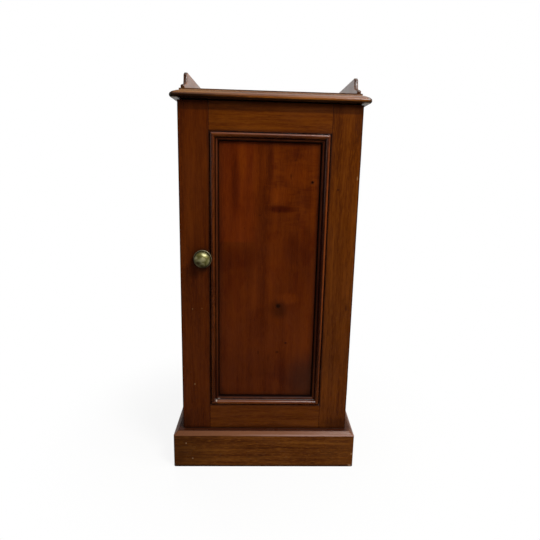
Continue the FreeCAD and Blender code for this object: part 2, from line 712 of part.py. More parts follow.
def hinge_leaf(label, plate_y, low, own, spots, way):
    """A leaf with its own knuckles on the pin, countersunk for its screws."""
    body = piece(label, ("Places.leaf_left", plate_y, low))
    block(body, ("0", "0", "0"), ("Sizes.leaf_wide", "Sizes.leaf_thick", "Sizes.hinge_long"))
    for index in own:
        bottom = f"{index} * Sizes.hinge_long / {knuckle_count} + Sizes.knuckle_play"
        tall = f"Sizes.hinge_long / {knuckle_count} - 2 * Sizes.knuckle_play"
        strap = ("Places.pin_x - Places.half", "Sizes.leaf_thick", tall)
        block(body, ("Sizes.leaf_wide", "0", bottom), strap)
        rod(body, local(body, ("Places.pin_x", "Places.pin_y", f"{low} + {bottom}")), "+Z",
            "Sizes.knuckle_radius", tall)
    rod(body, local(body, ("Places.pin_x", "Places.pin_y", f"{low} - Sizes.overrun")), "+Z",
        "Sizes.pin_radius + Sizes.pin_play", "Sizes.hinge_long + 2 * Sizes.overrun", True)
    screw_holes(body, spots, way, "small")


for index, (level, low) in enumerate(hinges.items()):
    mine = slice(index * len(leaf_screw_shares), (index + 1) * len(leaf_screw_shares))
    hinge_leaf(f"{level}_hinge_frame_leaf", "Places.front", low, (0, 2, 4), frame_leaf_spots[mine], "+Y")
    hinge_leaf(f"{level}_hinge_door_leaf", "Places.door_back - Sizes.leaf_thick", low, (1, 3),
               door_leaf_spots[mine], "-Y")
    hinge_pin = piece(f"{level}_hinge_pin", ("Places.pin_x", "Places.pin_y", low))
    rod(hinge_pin, ("0", "0", "0"), "+Z", "Sizes.pin_radius", "Sizes.hinge_long")
    for start in ("-Sizes.pin_cap_thick", "Sizes.hinge_long"):
        rod(hinge_pin, ("0", "0", start), "+Z", "Sizes.pin_cap_radius", "Sizes.pin_cap_thick")

# The knob is turned about its own Y, with the door's face at its own y = 0.
dome_corners = [
    (f"Sizes.dome_radius * {out}", f"-Sizes.knob_proud * {up}", -bulge) for out, up, bulge in dome_shares
]
knob = piece("knob", knob_axis)
turned = knob.newObject("PartDesign::Revolution", "knob_turned")
turned.Profile = outline(knob, "XY_Plane", dome_corners + [
    (f"Sizes.dome_radius * {dome_shares[-1][0]}", "-Sizes.rim_back - Sizes.rim_thick", 0),
    ("Sizes.rim_radius - Sizes.rim_thick / 2", "-Sizes.rim_back - Sizes.rim_thick", 0.5),
    ("Sizes.rim_radius - Sizes.rim_thick / 2", "-Sizes.rim_back", 0),
    ("Sizes.neck_radius", "-Sizes.rim_back", 0),
    ("Sizes.neck_radius", "-Sizes.turn_play", 0),
    ("0", "-Sizes.turn_play", 0),
])
turned.ReferenceAxis = (turned.Profile[0], ["V_Axis"])
turned.Angle = 360
rod(knob, ("0", "0", "0"), "-Y", "Sizes.spindle_radius + Sizes.screw_play",
    "Sizes.spindle_into_knob + Sizes.hole_end_gap", True)

knob_rose = piece("knob_rose", knob_axis)
rod(knob_rose, ("0", "0", "0"), "-Y", "Sizes.rose_radius", "Sizes.rose_thick")
rod(knob_rose, ("0", "Sizes.overrun", "0"), "-Y", "Sizes.neck_radius + Sizes.turn_play",
    "Sizes.rose_thick + 2 * Sizes.overrun", True)

spindle = piece("knob_spindle", knob_axis)
rod(spindle, ("0", "-Sizes.spindle_into_knob", "0"), "+Y", "Sizes.spindle_radius",
    "Sizes.spindle_into_knob + Places.tongue_y - Places.face + Sizes.tongue_thick + Sizes.nut_thick")
shoulder_start = "Places.door_back - Places.face + Sizes.washer_thick + Sizes.turn_play"
rod(spindle, ("0", shoulder_start, "0"), "+Y", "Sizes.shoulder_radius",
    f"Places.tongue_y - Places.face - ({shoulder_start})")

washer = piece("spindle_washer", ("Places.knob_x", "Places.door_back", "Places.knob_z"))
rod(washer, ("0", "0", "0"), "+Y", "Sizes.washer_radius", "Sizes.washer_thick")
rod(washer, ("0", "-Sizes.overrun", "0"), "+Y", "Sizes.spindle_radius + Sizes.turn_play",
    "Sizes.washer_thick + 2 * Sizes.overrun", True)


def plate_on_spindle(label, spot_y, corners, thick):
    """A plate cut to an outline seen from the front, bored for the spindle."""
    body = piece(label, ("Places.knob_x", spot_y, "Places.knob_z"))
    pad(body, outline(body, "XZ_Plane", corners), thick, True)
    rod(body, ("0", "-Sizes.overrun", "0"), "+Y", "Sizes.spindle_radius + Sizes.screw_play",
        f"{thick} + 2 * Sizes.overrun", True)
    return body


plate_on_spindle("latch_tongue", "Places.tongue_y", [
    ("Sizes.tongue_half", "0", 0),
    ("Sizes.tongue_half", "Sizes.tongue_reach - Sizes.tongue_half", 0.5),
    ("-Sizes.tongue_half", "Sizes.tongue_reach - Sizes.tongue_half", 0),
    ("-Sizes.tongue_half", "0", 0.5),
], "Sizes.tongue_thick")
plate_on_spindle("spindle_nut", "Places.tongue_y + Sizes.tongue_thick",
                 [(f"Sizes.nut_radius * {x}", f"Sizes.nut_radius * {z}", 0) for x, z in hexagon_shares],
                 "Sizes.nut_thick")

keeper = piece("latch_keeper", ("-Places.inner", "Places.keeper_y", "Places.keeper_low"))
pad(keeper, outline(keeper, "XY_Plane", [
    ("0", "0", 0),
    ("Sizes.keeper_reach", "0", 0),
    ("Sizes.keeper_reach", "Sizes.keeper_lip", 0),
    ("Sizes.keeper_thick", "Sizes.keeper_lip", 0),
    ("Sizes.keeper_thick", "Sizes.keeper_back", 0),
    ("0", "Sizes.keeper_back", 0),
]), "Sizes.keeper_tall")
screw_holes(keeper, keeper_spots, "-X", "small")

screws("hinge_frame_screws", frame_leaf_spots, "+Y", "small")
screws("hinge_door_screws", door_leaf_spots, "-Y", "small")
screws("keeper_screws", keeper_spots, "-X", "small")
screws("left_bearer_screws", bearer_spots["left"], "-X", "middle")
screws("right_bearer_screws", bearer_spots["right"], "+X", "middle")
screws("back_screws", [spot for spots in back_spots.values() for spot in spots], "-Y", "middle")
screws("top_screws", top_spots["front"] + top_spots["back"], "+Z", "big")

doc.recompute()

for thing in doc.Objects:
    if "Invalid" in thing.State or "Error" in thing.State:
        raise RuntimeError(f"{thing.Label} was not worked out: {thing.State}")
for body in pieces:
    if body.Shape.isNull() or not body.Shape.isValid() or not body.Shape.Solids:
        raise RuntimeError(f"{body.Label} has no valid shape")

os.makedirs("parts", exist_ok=True)
for body in pieces:
    body.Shape.exportStep(f"parts/{body.Label}.step")
    print(body.Label, len(body.Shape.Solids), "solids,", round(body.Shape.Volume / 1000, 2), "cm3")
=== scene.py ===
# %% [markdown]
# An old mahogany bedside cupboard: one panelled door on a moulded plinth, a moulded top with a low
# gallery round three sides, and a turned brass knob. The joinery comes from the imported CAD frame.
# What this lesson adds is what the eye reads as an old, polished piece: eased edges, real mouldings,
# grain that runs the way each board was cut, dirt and painted shade in the corners, a few painted
# highlights and soft studio light. Lengths are in metres, as Blender's are, and MM turns millimetres
# into them.

# %% Load the imported frame
import json
import math

import bpy
from mathutils import Matrix, Vector


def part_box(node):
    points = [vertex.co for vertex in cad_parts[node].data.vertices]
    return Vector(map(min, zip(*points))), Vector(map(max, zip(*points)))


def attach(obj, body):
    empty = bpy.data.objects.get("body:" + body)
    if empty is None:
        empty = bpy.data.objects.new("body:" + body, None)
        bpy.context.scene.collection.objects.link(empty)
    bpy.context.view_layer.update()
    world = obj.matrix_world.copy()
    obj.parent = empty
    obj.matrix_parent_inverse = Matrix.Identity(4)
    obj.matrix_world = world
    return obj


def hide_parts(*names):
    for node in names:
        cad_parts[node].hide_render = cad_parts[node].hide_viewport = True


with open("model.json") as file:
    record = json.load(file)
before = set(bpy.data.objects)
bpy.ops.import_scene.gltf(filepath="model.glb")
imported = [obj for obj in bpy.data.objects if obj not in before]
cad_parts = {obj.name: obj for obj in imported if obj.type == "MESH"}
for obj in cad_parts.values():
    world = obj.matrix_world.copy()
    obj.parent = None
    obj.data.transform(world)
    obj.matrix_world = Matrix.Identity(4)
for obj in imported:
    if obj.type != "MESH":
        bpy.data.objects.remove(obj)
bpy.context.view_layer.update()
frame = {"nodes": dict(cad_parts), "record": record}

MM = 0.001
hair = 0.01 * MM  # points closer than this are one point
X, Y, Z = range(3)
right, back, up = Vector((1, 0, 0)), Vector((0, 1, 0)), Vector((0, 0, 1))
print("nodes in the frame:", len(frame["nodes"]))

# %% [markdown]
# Every operator acts on whatever is selected, and the loaded frame comes in selected. So one helper
# makes a single object the selected and active one, and a second writes an object's place and size
# into its mesh, where the grain patterns expect them.

# %% Take one object, settle its place
def take(piece):
    bpy.ops.object.select_all(action="DESELECT")
    piece.select_set(True)
    bpy.context.view_layer.objects.active = piece


def settle(piece, name):
    piece.name = name
    take(piece)
    bpy.ops.object.transform_apply(location=True, rotation=True, scale=True)


def edit(piece, *steps):
    """Runs operators in edit mode on all of a piece."""
    take(piece)
    bpy.ops.object.mode_set(mode="EDIT")
    bpy.ops.mesh.select_all(action="SELECT")
    for step in steps:
        step()
    bpy.ops.object.mode_set(mode="OBJECT")


def face_outwards():
    bpy.ops.mesh.normals_make_consistent(inside=False)


# %% [markdown]
# Old furniture has no knife-sharp edge: a plane, sandpaper and a century of dusting round every
# arris by half a millimetre or more, and that thin rounded strip is what catches the light. The
# edges are picked in code by their place on the board's outer box, so that mortises and grooves
# inside the board stay crisp, and then bevelled. A Bevel modifier would round the mortises too.
# Weighted normals keep the wide faces flat to the eye.

# %% Ease the outer edges and smooth
def smooth(piece, angle=50):
    take(piece)
    bpy.ops.object.shade_smooth_by_angle(angle=math.radians(angle))
    piece.modifiers.new("weighted", "WEIGHTED_NORMAL").keep_sharp = True
    bpy.ops.object.modifier_apply(modifier="weighted")


def planes_met(point, low, high):
    return {(axis, side) for axis in range(3) for side, corner in enumerate((low, high))
            if abs(point[axis] - corner[axis]) < hair}


def ease(piece, width, low=None, high=None, segments=2, along=None):
    """Bevels the edges of the box from low to high, or only the one along two named planes of it."""
    points = [vertex.co for vertex in piece.data.vertices]
    low = low or Vector(min(point[axis] for point in points) for axis in range(3))
    high = high or Vector(max(point[axis] for point in points) for axis in range(3))
    met = [planes_met(point, low, high) for point in points]
    take(piece)
    bpy.context.tool_settings.mesh_select_mode = (False, True, False)
    bpy.ops.object.mode_set(mode="EDIT")
    bpy.ops.mesh.select_all(action="DESELECT")
    bpy.ops.object.mode_set(mode="OBJECT")
    for edge in piece.data.edges:
        first, second = edge.vertices
        shared = met[first] & met[second]
        edge.select = shared >= along if along else len(shared) > 1
    bpy.ops.object.mode_set(mode="EDIT")
    bpy.ops.mesh.bevel(offset=width, segments=segments, affect="EDGES")
    bpy.ops.object.mode_set(mode="OBJECT")
    smooth(piece)


# %% [markdown]
# A board can start as a cube at its real size, or as a copy of its CAD node when it has mortises,
# grooves or hinge recesses that show once the door is open. A copied node is loose triangles, so it
# is merged first and its flat faces are made whole again.

# %% Boards, plain or copied from the frame
def plain_board(name, low, high):
    bpy.ops.object.select_all(action="DESELECT")
    bpy.ops.mesh.primitive_cube_add(size=1, location=(low + high) / 2, scale=high - low)
    board = bpy.context.object
    settle(board, name)
    return board


def copied_node(node, name):
    piece = bpy.data.objects.new(name, frame["nodes"][node].data.copy())
    bpy.context.scene.collection.objects.link(piece)
    edit(piece,
         lambda: bpy.ops.mesh.customdata_custom_splitnormals_clear(),
         lambda: bpy.ops.mesh.remove_doubles(threshold=hair),
         lambda: bpy.ops.mesh.dissolve_limited(angle_limit=math.radians(0.5)))
    return piece


# %% [markdown]
# Mouldings are described the way a joiner draws them: a short list of corners as shares of the
# width and the height, and how far each stretch bows. A bow to the right of its run is positive.

# %% Curved outlines from a few corners
def bowed(corners, wide, tall, steps=5):
    """Points through corners (across, up, bow), with each bowed stretch as an arc."""
    points = []
    for (x, y, bow), (next_x, next_y, _) in zip(corners, corners[1:] + corners[-1:]):
        start = Vector((x * wide, y * tall))
        chord = Vector((next_x * wide, next_y * tall)) - start
        points.append(start)
        if not bow:
            continue
        aside = Vector((chord.y, -chord.x)) * math.copysign(1, bow)
        half_turn = 2 * math.atan(2 * abs(bow))
        radius = 1 / (2 * math.sin(half_turn))
        for step in range(1, steps):
            turn = half_turn * (2 * step / steps - 1)
            along = 0.5 + radius * math.sin(turn)
            points.append(start + chord * along + aside * radius * (math.cos(turn) - math.cos(half_turn)))
    return points


def fitted(corners, wide, tall):
    """The same, for an outline whose crest bows above its top corner: the crest is brought to tall."""
    crest = max(point.y for point in bowed(corners, wide, tall))
    return bowed(corners, wide, tall * tall / crest)


# %% [markdown]
# Most shaped pieces here are one outline pushed through a few places, as a plane leaves a moulding
# behind it: the outline is a circle primitive whose vertices are put on its points, its face is
# extruded, and the new face's vertices are put on the next outline's points, matched by where the
# old ones were.

# %% An outline swept through rings of points
def ring(points, name, closed=True):
    bpy.ops.object.select_all(action="DESELECT")
    bpy.ops.mesh.primitive_circle_add(vertices=len(points), fill_type="NGON" if closed else "NOTHING")
    piece = bpy.context.object
    piece.name = name
    for vertex, point in zip(piece.data.vertices, points):
        vertex.co = point
    return piece


def swept(name, rings, angle=32):
    piece = ring(rings[0], name)
    for before, after in zip(rings, rings[1:]):
        take(piece)
        bpy.ops.object.mode_set(mode="EDIT")
        bpy.ops.mesh.extrude_region_move()
        bpy.ops.object.mode_set(mode="OBJECT")
        for vertex in piece.data.vertices:
            if vertex.select:
                nearest = min(range(len(before)), key=lambda index: (vertex.co - before[index]).length)
                vertex.co = after[nearest]
    edit(piece, face_outwards)
    smooth(piece, angle)
    return piece


# %% [markdown]
# Where two moulded lengths meet at a corner, each is cut at 45 degrees: a point that lies further
# in starts further along by the same amount. An outer corner that feet and brooms have knocked is
# rounded as well. Each length then carries half of the rounding, in three short turns.

# %% A moulded length with mitred ends
half_corner = math.pi / 4
corner_turns = [half_corner * share for share in (1, 2 / 3, 1 / 3, 0)]


def moulded_length(name, section, start, along, inward, out, length, mitres=(1, 1), rounding=0.0):
    deepest = max(w for w, _ in section)

    def outline(end, turn):
        points = []
        for w, h in section:
            cut = w + rounding * (1 - math.sin(turn))
            inside = w + rounding * (1 - math.cos(turn))
            if w == deepest:
                cut, inside = w + rounding * (math.sin(half_corner) - math.sin(turn)), w
            if not mitres[end]:
                cut, inside = 0, w
            place = length - cut if end else cut
            points.append(start + along * place + inward * inside + out * h)
        return points

    turns = [corner_turns if mitre and rounding else corner_turns[:1] for mitre in mitres]
    rings = [outline(0, turn) for turn in turns[0]] + [outline(1, turn) for turn in reversed(turns[1])]
    return swept(name, rings)


# %% [markdown]
# Colours are written as sRGB hex values, as read from a paint card, and turned to linear light in
# one place. One function adds any shader node, sets its options and links or fills its inputs. The
# inputs of a Map Range come in its own order: value, from, from, to, to. A ramp is born with two
# stops, so its first and last are placed on those, and the others come between.

# %% Colours and nodes
def colour(code):
    """A hex code in linear light, by the sRGB curve."""
    shares = [int(code[index:index + 2], 16) / 255 for index in (1, 3, 5)]
    linear = [share / 12.92 if share <= 0.04045 else ((share + 0.055) / 1.055) ** 2.4 for share in shares]
    return (*linear, 1)


def in_use(sockets, name=None):
    return next(socket for socket in sockets if socket.enabled and name in (None, socket.name))


def add(tree, kind, inputs=(), stops=(), **settings):
    """Adds a shader node. Its inputs come by name or in the node's order, and each is a value, a
    socket or a node, whose first socket is taken."""
    made = tree.nodes.new("ShaderNode" + kind)
    for key, value in settings.items():
        setattr(made, key, value)
    for key, value in inputs.items() if isinstance(inputs, dict) else enumerate(inputs):
        entry = made.inputs[key] if isinstance(key, int) else in_use(made.inputs, key)
        if isinstance(value, bpy.types.Node):
            value = in_use(value.outputs)
        if isinstance(value, bpy.types.NodeSocket):
            tree.links.new(value, entry)
        else:
            entry.default_value = value
    for index, (position, code) in enumerate([*stops[:1], *stops[-1:], *stops[1:-1]]):
        elements = made.color_ramp.elements
        stop = elements[index] if index < 2 else elements.new(position)
        stop.position = position
        stop.color = colour(code)
    return made


def new_material(name):
    """A material, its emptied tree, and the place of each point of the piece, in metres."""
    material = bpy.data.materials.new(name)
    material.use_nodes = True
    tree = material.node_tree
    tree.nodes.clear()
    return material, tree, add(tree, "TexCoord").outputs["Object"]


print("mid grey in linear light:", round(colour("#808080")[0], 3))

# %% [markdown]
# The pattern under all the wood is one noise, squeezed across the grain and drawn out along it.
# Its size is given in millimetres across and along, so it can be checked against a real board.
# Age and painted light then work on it the same way everywhere: each stain, band of figure,
# painted shade and painted highlight lays a colour over the wood where some value passes from clear
# to full. The value may be a noise, a height, or how far a point lies from a spot or an edge.

# %% Patterns that follow the grain, and stains
def grown(tree, place, grain, across, along, detail=3.0, shift=0.0, twist=0.0):
    """Noise in blots that are across mm wide and along mm long, along the axis of the grain."""
    size = [1 / (across * MM)] * 3
    size[grain] = 1 / (along * MM)
    laid = add(tree, "Mapping", {"Vector": place, "Location": (shift, shift, shift), "Scale": size})
    return add(tree, "TexNoise", {"Vector": laid, "Scale": 1.0, "Detail": detail, "Distortion": twist})


def stained(tree, shade, code, strength, value, clear, full):
    """Lays a colour over a shade, not at all where the value is clear and by the strength where full."""
    reach = add(tree, "MapRange", (value, clear, full, 0, strength), interpolation_type="SMOOTHSTEP")
    return add(tree, "Mix", {"Factor": reach, "A": shade, "B": colour(code)}, data_type="RGBA")


def aged(tree, shade, *stains):
    """Lays stains and painted light on in turn, each written (code, strength, value, clear, full)."""
    for stain in stains:
        shade = stained(tree, shade, *stain)
    return shade


def from_spot(tree, place, middle, wide, tall):
    """How far a point is from a spot on the front: 0 at its middle, 1 on an oval wide by tall mm."""
    size = (1 / (wide * MM / 2), 0, 1 / (tall * MM / 2))
    shift = [-middle[0] * MM * size[0], 0, -middle[1] * MM * size[2]]
    laid = add(tree, "Mapping", {"Vector": place, "Location": shift, "Scale": size})
    return add(tree, "VectorMath", (laid,), operation="LENGTH")


def spotted(tree, place, shade, code, spots, soft=0.2):
    """Stains a shade with spots: middle (across, up), width and height in mm, and strength."""
    for middle, wide, tall, strength in spots:
        away = from_spot(tree, place, middle, wide, tall)
        shade = stained(tree, shade, code, strength, away, 1.0, soft)
    return shade


def inside_opening(tree, place):
    """How far, in metres, a point lies inside the door's opening, seen from the front."""
    gaps = []
    for axis in (X, Z):
        value = add(tree, "SeparateXYZ", (place,)).outputs[axis]
        away = add(tree, "Math", (value, (opening_low[axis] + opening_high[axis]) / 2),
                   operation="SUBTRACT")
        away = add(tree, "Math", (away,), operation="ABSOLUTE")
        half = (opening_high[axis] - opening_low[axis]) / 2
        gaps.append(add(tree, "Math", (half, away), operation="SUBTRACT"))
    return add(tree, "Math", (gaps[0], gaps[1]), operation="MINIMUM")


# %% [markdown]
# Mahogany is a reddish brown wood with soft ribbon bands, where the grain leans one way and then
# the other, and with long open pores that show as short dark dashes. Under French polish the colour
# is deep and a little golden. The same recipe serves every board; what changes is the way the grain
# runs, the three shades and how strong bands, clouds and pores are. Pores are 0.2 mm wide on real
# wood, which is too fine to show from a metre away, so they are drawn 1.7 mm wide. Where the wood
# was handled the polish has worn, so its roughness wanders a little.

# %% Mahogany
# Sizes in millimetres, across the grain and along it
streak_size, cloud_size, pore_size, wear_size = (3.4, 80), (55, 150), (1.7, 13), (30, 60)
ribbon_long = 22  # times its width
pore_deep = 0.08 * MM
gloss_worn = 0.06


def mahogany(name, grain, shades, band=14, cloud=0.35, pores=0.5, streaks=0.4, gloss=0.16, sheen=0.4,
             marks=None):
    """French polished mahogany, its grain along an axis. marks(tree, place, shade) adds age and painted
    light.
    """
    material, tree, place = new_material(name)
    deep, _, light = shades
    ribbon = grown(tree, place, grain, band, band * ribbon_long, twist=0.4)
    shade = add(tree, "ValToRGB", {"Fac": ribbon}, list(zip((0.3, 0.5, 0.7), shades)))
    streak = grown(tree, place, grain, *streak_size, 4.0, shift=7.0)
    clouds = grown(tree, place, grain, *cloud_size, 2.0, shift=3.0, twist=0.8)
    pore = grown(tree, place, grain, *pore_size, 2.0, shift=11.0)
    shade = aged(tree, shade,
        (deep, streaks, streak, 0.47, 0.64),
        (light, streaks, streak, 0.5, 0.36),
        (deep, cloud, clouds, 0.38, 0.66),
        ("#1c0902", pores * 0.6, pore, 0.54, 0.72),
        (light, pores, pore, 0.47, 0.32))
    if marks:
        shade = marks(tree, place, shade)
    wear = grown(tree, place, grain, *wear_size, shift=5.0)
    rough = add(tree, "MapRange", (wear, 0.3, 0.7, gloss, gloss + gloss_worn))
    bump = add(tree, "Bump", {"Height": pore, "Strength": 0.25, "Distance": -pore_deep})
    shader = add(tree, "BsdfPrincipled", {"Base Color": shade, "Roughness": rough,
                                          "Specular IOR Level": sheen, "Normal": bump})
    add(tree, "OutputMaterial", {"Surface": shader})
    return material


print("pores of", pore_size, "mm in clouds of", cloud_size, "mm")

# %% [markdown]
# The door is framed up: two stiles run the full height and two rails sit between them, each with a
# mortise and tenon joint. So grain runs up the stiles and across the rails, and a fine dark line
# marks each joint. The marks of age and the painted light and shade lie at real places on the door,
# so its corners are measured on the frame first.

# %% Where the door's opening lies
door_low, door_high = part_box("left_stile")
door_high.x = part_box("right_stile")[1].x
door_face = door_low.y
panel_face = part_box("door_panel")[0].y
opening_low = Vector((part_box("left_stile")[1].x, panel_face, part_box("bottom_rail")[1].z))
opening_high = Vector((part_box("right_stile")[0].x, panel_face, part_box("top_rail")[0].z))
moulding_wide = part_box("left_moulding")[1].x - opening_low.x
moulding_tall = panel_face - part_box("left_moulding")[0].y
knob_low, knob_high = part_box("knob")
knob_middle = ((knob_low.x + knob_high.x) / 2 / MM, (knob_low.z + knob_high.z) / 2 / MM)
knob_wide = (knob_high.x - knob_low.x) / MM
print("opening", opening_high - opening_low, "moulding", moulding_wide, moulding_tall)

# %% [markdown]
# The middle of the door is one wide panel with livelier figure, golden above and redder below, with
# a knot, a few pin marks, and dirt and painted shade along the moulding, where it stands over the
# panel. Each mark is an oval: its middle across and up the front, its width and height in
# millimetres, and its strength. Golden patches and brown clouds multiply the wood, so the grain still
# shows in them, as under real polish, while knots, dirt and painted shade are laid over it. A painted
# image would blur up close, and ovals don't.

# %% Marks on the panel
panel_knots = [
    ((24, 375.3), 16, 16, 1),
    ((26, 367), 56, 60, 0.5),
    ((42.9, 289.5), 11, 5, 0.8),
    ((24.4, 267.9), 10, 8, 0.7),
    ((-18.1, 266.2), 5, 16, 0.6),
    ((89.1, 643.7), 11, 10, 1),
    ((101.3, 576.5), 5, 5, 0.6),
    ((53.3, 688.3), 6, 6, 0.5),
    ((44.3, 655), 6, 18, 0.5),
    ((-19, 573), 6, 6, 0.5),
    ((-51, 545), 5, 6, 0.4),
    # The next two darken the panel's lower corners.
    ((-104, 160), 40, 60, 0.5),
    ((104, 160), 50, 50, 0.5),
]
panel_clouds = [
    ((24, 587), 84, 22, 0.9),
    ((-70, 640), 24, 170, 0.5),
    ((2, 680), 18, 120, 0.5),
    ((-62, 480), 130, 70, 0.4),
    ((50, 500), 60, 90, 0.4),
    ((80, 610), 40, 70, 0.4),
    ((-20, 330), 60, 120, 0.3),
]
panel_glow = [
    ((22, 614), 64, 52, 0.8),
    ((54, 657), 70, 70, 0.7),
    ((-29, 665), 18, 150, 0.7),
    ((-13, 670), 14, 120, 0.6),
    ((-56, 680), 22, 100, 0.5),
    ((44, 392), 60, 34, 0.7),
    ((8, 480), 110, 170, 0.35),
    ((0, 175), 130, 90, 0.25),
    ((30, 340), 440, 260, 0.3),
]
panel_stain = [((90, 200), 130, 170, 0.65)]
curl_middle, curl_wide, curl_tall = (50.0, 640.0), 170, 230
figure_step_low, figure_step_high = 513 * MM, 518 * MM
figure_red_until, figure_gold_from, figure_wander = 0.52, 0.68, 0.12
print("marks on the panel:", len(panel_knots + panel_clouds + panel_glow + panel_stain))

# %% The panel's figure and dirt
def panel_figure(tree, place):
    """How much light the wood gives back: whitest in the golden patches, browner in the clouds."""
    across, _, height = add(tree, "SeparateXYZ", (place,)).outputs
    wander = grown(tree, place, Z, 40, 90, 2.0, shift=21.0)
    felt = add(tree, "Math", (wander, figure_wander, height), operation="MULTIPLY_ADD")
    cloud = grown(tree, place, Z, 30, 60, 2.0, shift=27.0, twist=0.6)
    ripple = grown(tree, place, X, 9, 40, 2.0, shift=17.0, twist=1.2)
    corner = from_spot(tree, place, curl_middle, curl_wide, curl_tall)
    curl = add(tree, "MapRange", (corner, 1.0, 0.4, 0, 0.5))
    left_part = add(tree, "MapRange", (across, -15 * MM, -40 * MM, 0, 0.6))
    ply = aged(tree, colour("#ccb2c0"),
        ("#e0c8c8", 1.0, felt, figure_red_until, figure_gold_from),
        ("#b48a94", 0.6, cloud, 0.5, 0.66),
        ("#ffe8c0", curl, ripple, 0.5, 0.66),
        ("#b48a94", curl, ripple, 0.47, 0.34),
        ("#f4c4c4", left_part, height, figure_step_low, figure_step_high))
    ply = spotted(tree, place, ply, "#ffe4c0", panel_glow, 0.4)
    return spotted(tree, place, ply, "#9c6e70", panel_clouds, 0.3)


def panel_marks(tree, place, shade):
    figure = panel_figure(tree, place)
    shade = add(tree, "Mix", {"Factor": 1.0, "A": shade, "B": figure}, data_type="RGBA",
                blend_type="MULTIPLY")
    shade = spotted(tree, place, shade, "#301a10", panel_stain, 0.1)
    shade = spotted(tree, place, shade, "#1e0a02", panel_knots)
    # Dirt and painted shade: a broad dark band and a black line along the moulding, where it overhangs the
    # panel.
    edge = inside_opening(tree, place)
    return aged(tree, shade,
        ("#260e04", 0.45, edge, moulding_wide + 10 * MM, moulding_wide),
        ("#0c0502", 0.8, edge, moulding_wide + 2.2 * MM, moulding_wide + 1.0 * MM))


# %% [markdown]
# A cloth reaches the round bead and leaves dirt in the quirk beside it and in the hollow, and the
# same darkening there and at the panel's edge is painted shade as well. One ramp across the moulding
# draws that on all four strips, and its white leaves the wood as it is. Its stops are shares of the
# width from the frame inwards: quirk, bead, hollow, fillet. Painted shade darkens the bead's inner
# side on the right and top strips and low on the left one, a painted highlight runs down the right
# bead, and at the lower left mitre a painted highlight on the fillet sits by chips on the bead. The
# frame is darker at the foot and along its outer edges, with dirt and painted shade round the knob
# and by the moulding, a painted shadow under the top, and small dents and scratches.

# %% Marks on the moulding and the frame
# Dirt and painted shade: the dark stops fall in the quirk, the hollow and at the panel's edge.
grime_and_shade_stops = [
    (0, "#e0d8d4"), (0.07, "#84766e"), (0.16, "#786a62"),
    (0.2, "#f4f4f4"), (0.6, "#ffffff"),
    (0.69, "#74665e"), (0.765, "#544844"),
    (0.79, "#f4ece8"), (0.86, "#e8e0dc"), (0.96, "#a0948e"), (1, "#403430"),
]
# Painted shade on the bead's inner side: low on the left strip, down the right strip and along the top.
bead_shaded_dull = [((-113, 170), 16, 260, 0.6), ((opening_high.x / MM - 12, 440), 14, 900, 0.8),
               ((0, opening_high.z / MM - 10), 300, 12, 0.6)]
# A painted highlight down the right strip's bead.
bead_painted_highlight = [((opening_high.x / MM - 4.5, 500), 6, 660, 0.3)]
# The first is a painted highlight along the fillet at the lower left mitre; the others are chips on the
# bead there.
bead_chips_and_highlight = [((-97.5, 167.5), 12, 3, 1), ((-109.5, 155), 5, 4, 0.8), ((-104.5, 158.5), 9, 3.4, 0.8)]
frame_glow = [((-155, 660), 90, 380, 0.22), ((-152, 250), 90, 460, 0.14)]
frame_spots = [((141.3, 630.3), 6, 6, 0.85), ((172, 377), 10, 26, 0.5), ((-188, 100), 50, 60, 0.6),
               ((165, 100), 90, 40, 0.45)]
frame_scratches = [((180.3, 654.6), 3, 12, 0.5), ((-160.6, 369.4), 3, 3, 0.5),
                   ((-140.2, 370.8), 3, 3, 0.3), ((-157.5, 194.5), 4, 5, 0.5)]
joint_wide = 1.6 * MM
print("marks on the frame:", len(frame_spots + frame_scratches + frame_glow))

# %% How they are laid on
def bead_grime_and_shade(tree, place, shade):
    edge = inside_opening(tree, place)
    share = add(tree, "Math", (edge, moulding_wide), operation="DIVIDE")
    grime = add(tree, "ValToRGB", {"Fac": share}, grime_and_shade_stops)
    shade = add(tree, "Mix", {"Factor": 1.0, "A": shade, "B": grime}, data_type="RGBA",
                blend_type="MULTIPLY")
    shade = spotted(tree, place, shade, "#200602", bead_shaded_dull, 0.3)
    shade = spotted(tree, place, shade, "#9c4c1c", bead_painted_highlight, 0.3)
    return spotted(tree, place, shade, "#b0a292", bead_chips_and_highlight)


def frame_marks(tree, place, shade):
    sides = add(tree, "SeparateXYZ", (place,)).outputs
    shade = spotted(tree, place, shade, "#642c06", frame_glow)
    shade = spotted(tree, place, shade, "#260d03", frame_spots)
    shade = spotted(tree, place, shade, "#a07a50", frame_scratches)
    across = add(tree, "Math", (sides[X],), operation="ABSOLUTE")
    joint = add(tree, "Math", (across, opening_high.x, joint_wide / 2), operation="COMPARE")
    knob_dirt_and_shade = from_spot(tree, place, (knob_middle[0] - 1.5, knob_middle[1] - 4), 58, 60)
    # Dirt and painted shade along the frame's edge by the moulding and round the knob, a painted shadow
    # under the top, and the door darker along its outer edges and at its foot.
    return aged(tree, shade,
        ("#200c03", 0.5, inside_opening(tree, place), -4 * MM, 0.0),
        ("#200a04", 0.4, joint, 0.0, 1.0),
        ("#1c0a03", 0.6, across, door_high.x - 3 * MM, door_high.x - 0.5 * MM),
        ("#240d03", 0.6, sides[Z], door_high.z - 20 * MM, door_high.z - 16 * MM),
        ("#200c03", 0.6, knob_dirt_and_shade, 1.0, 0.6),
        ("#1c0a03", 0.5, sides[Z], door_low.z + 8 * MM, door_low.z))


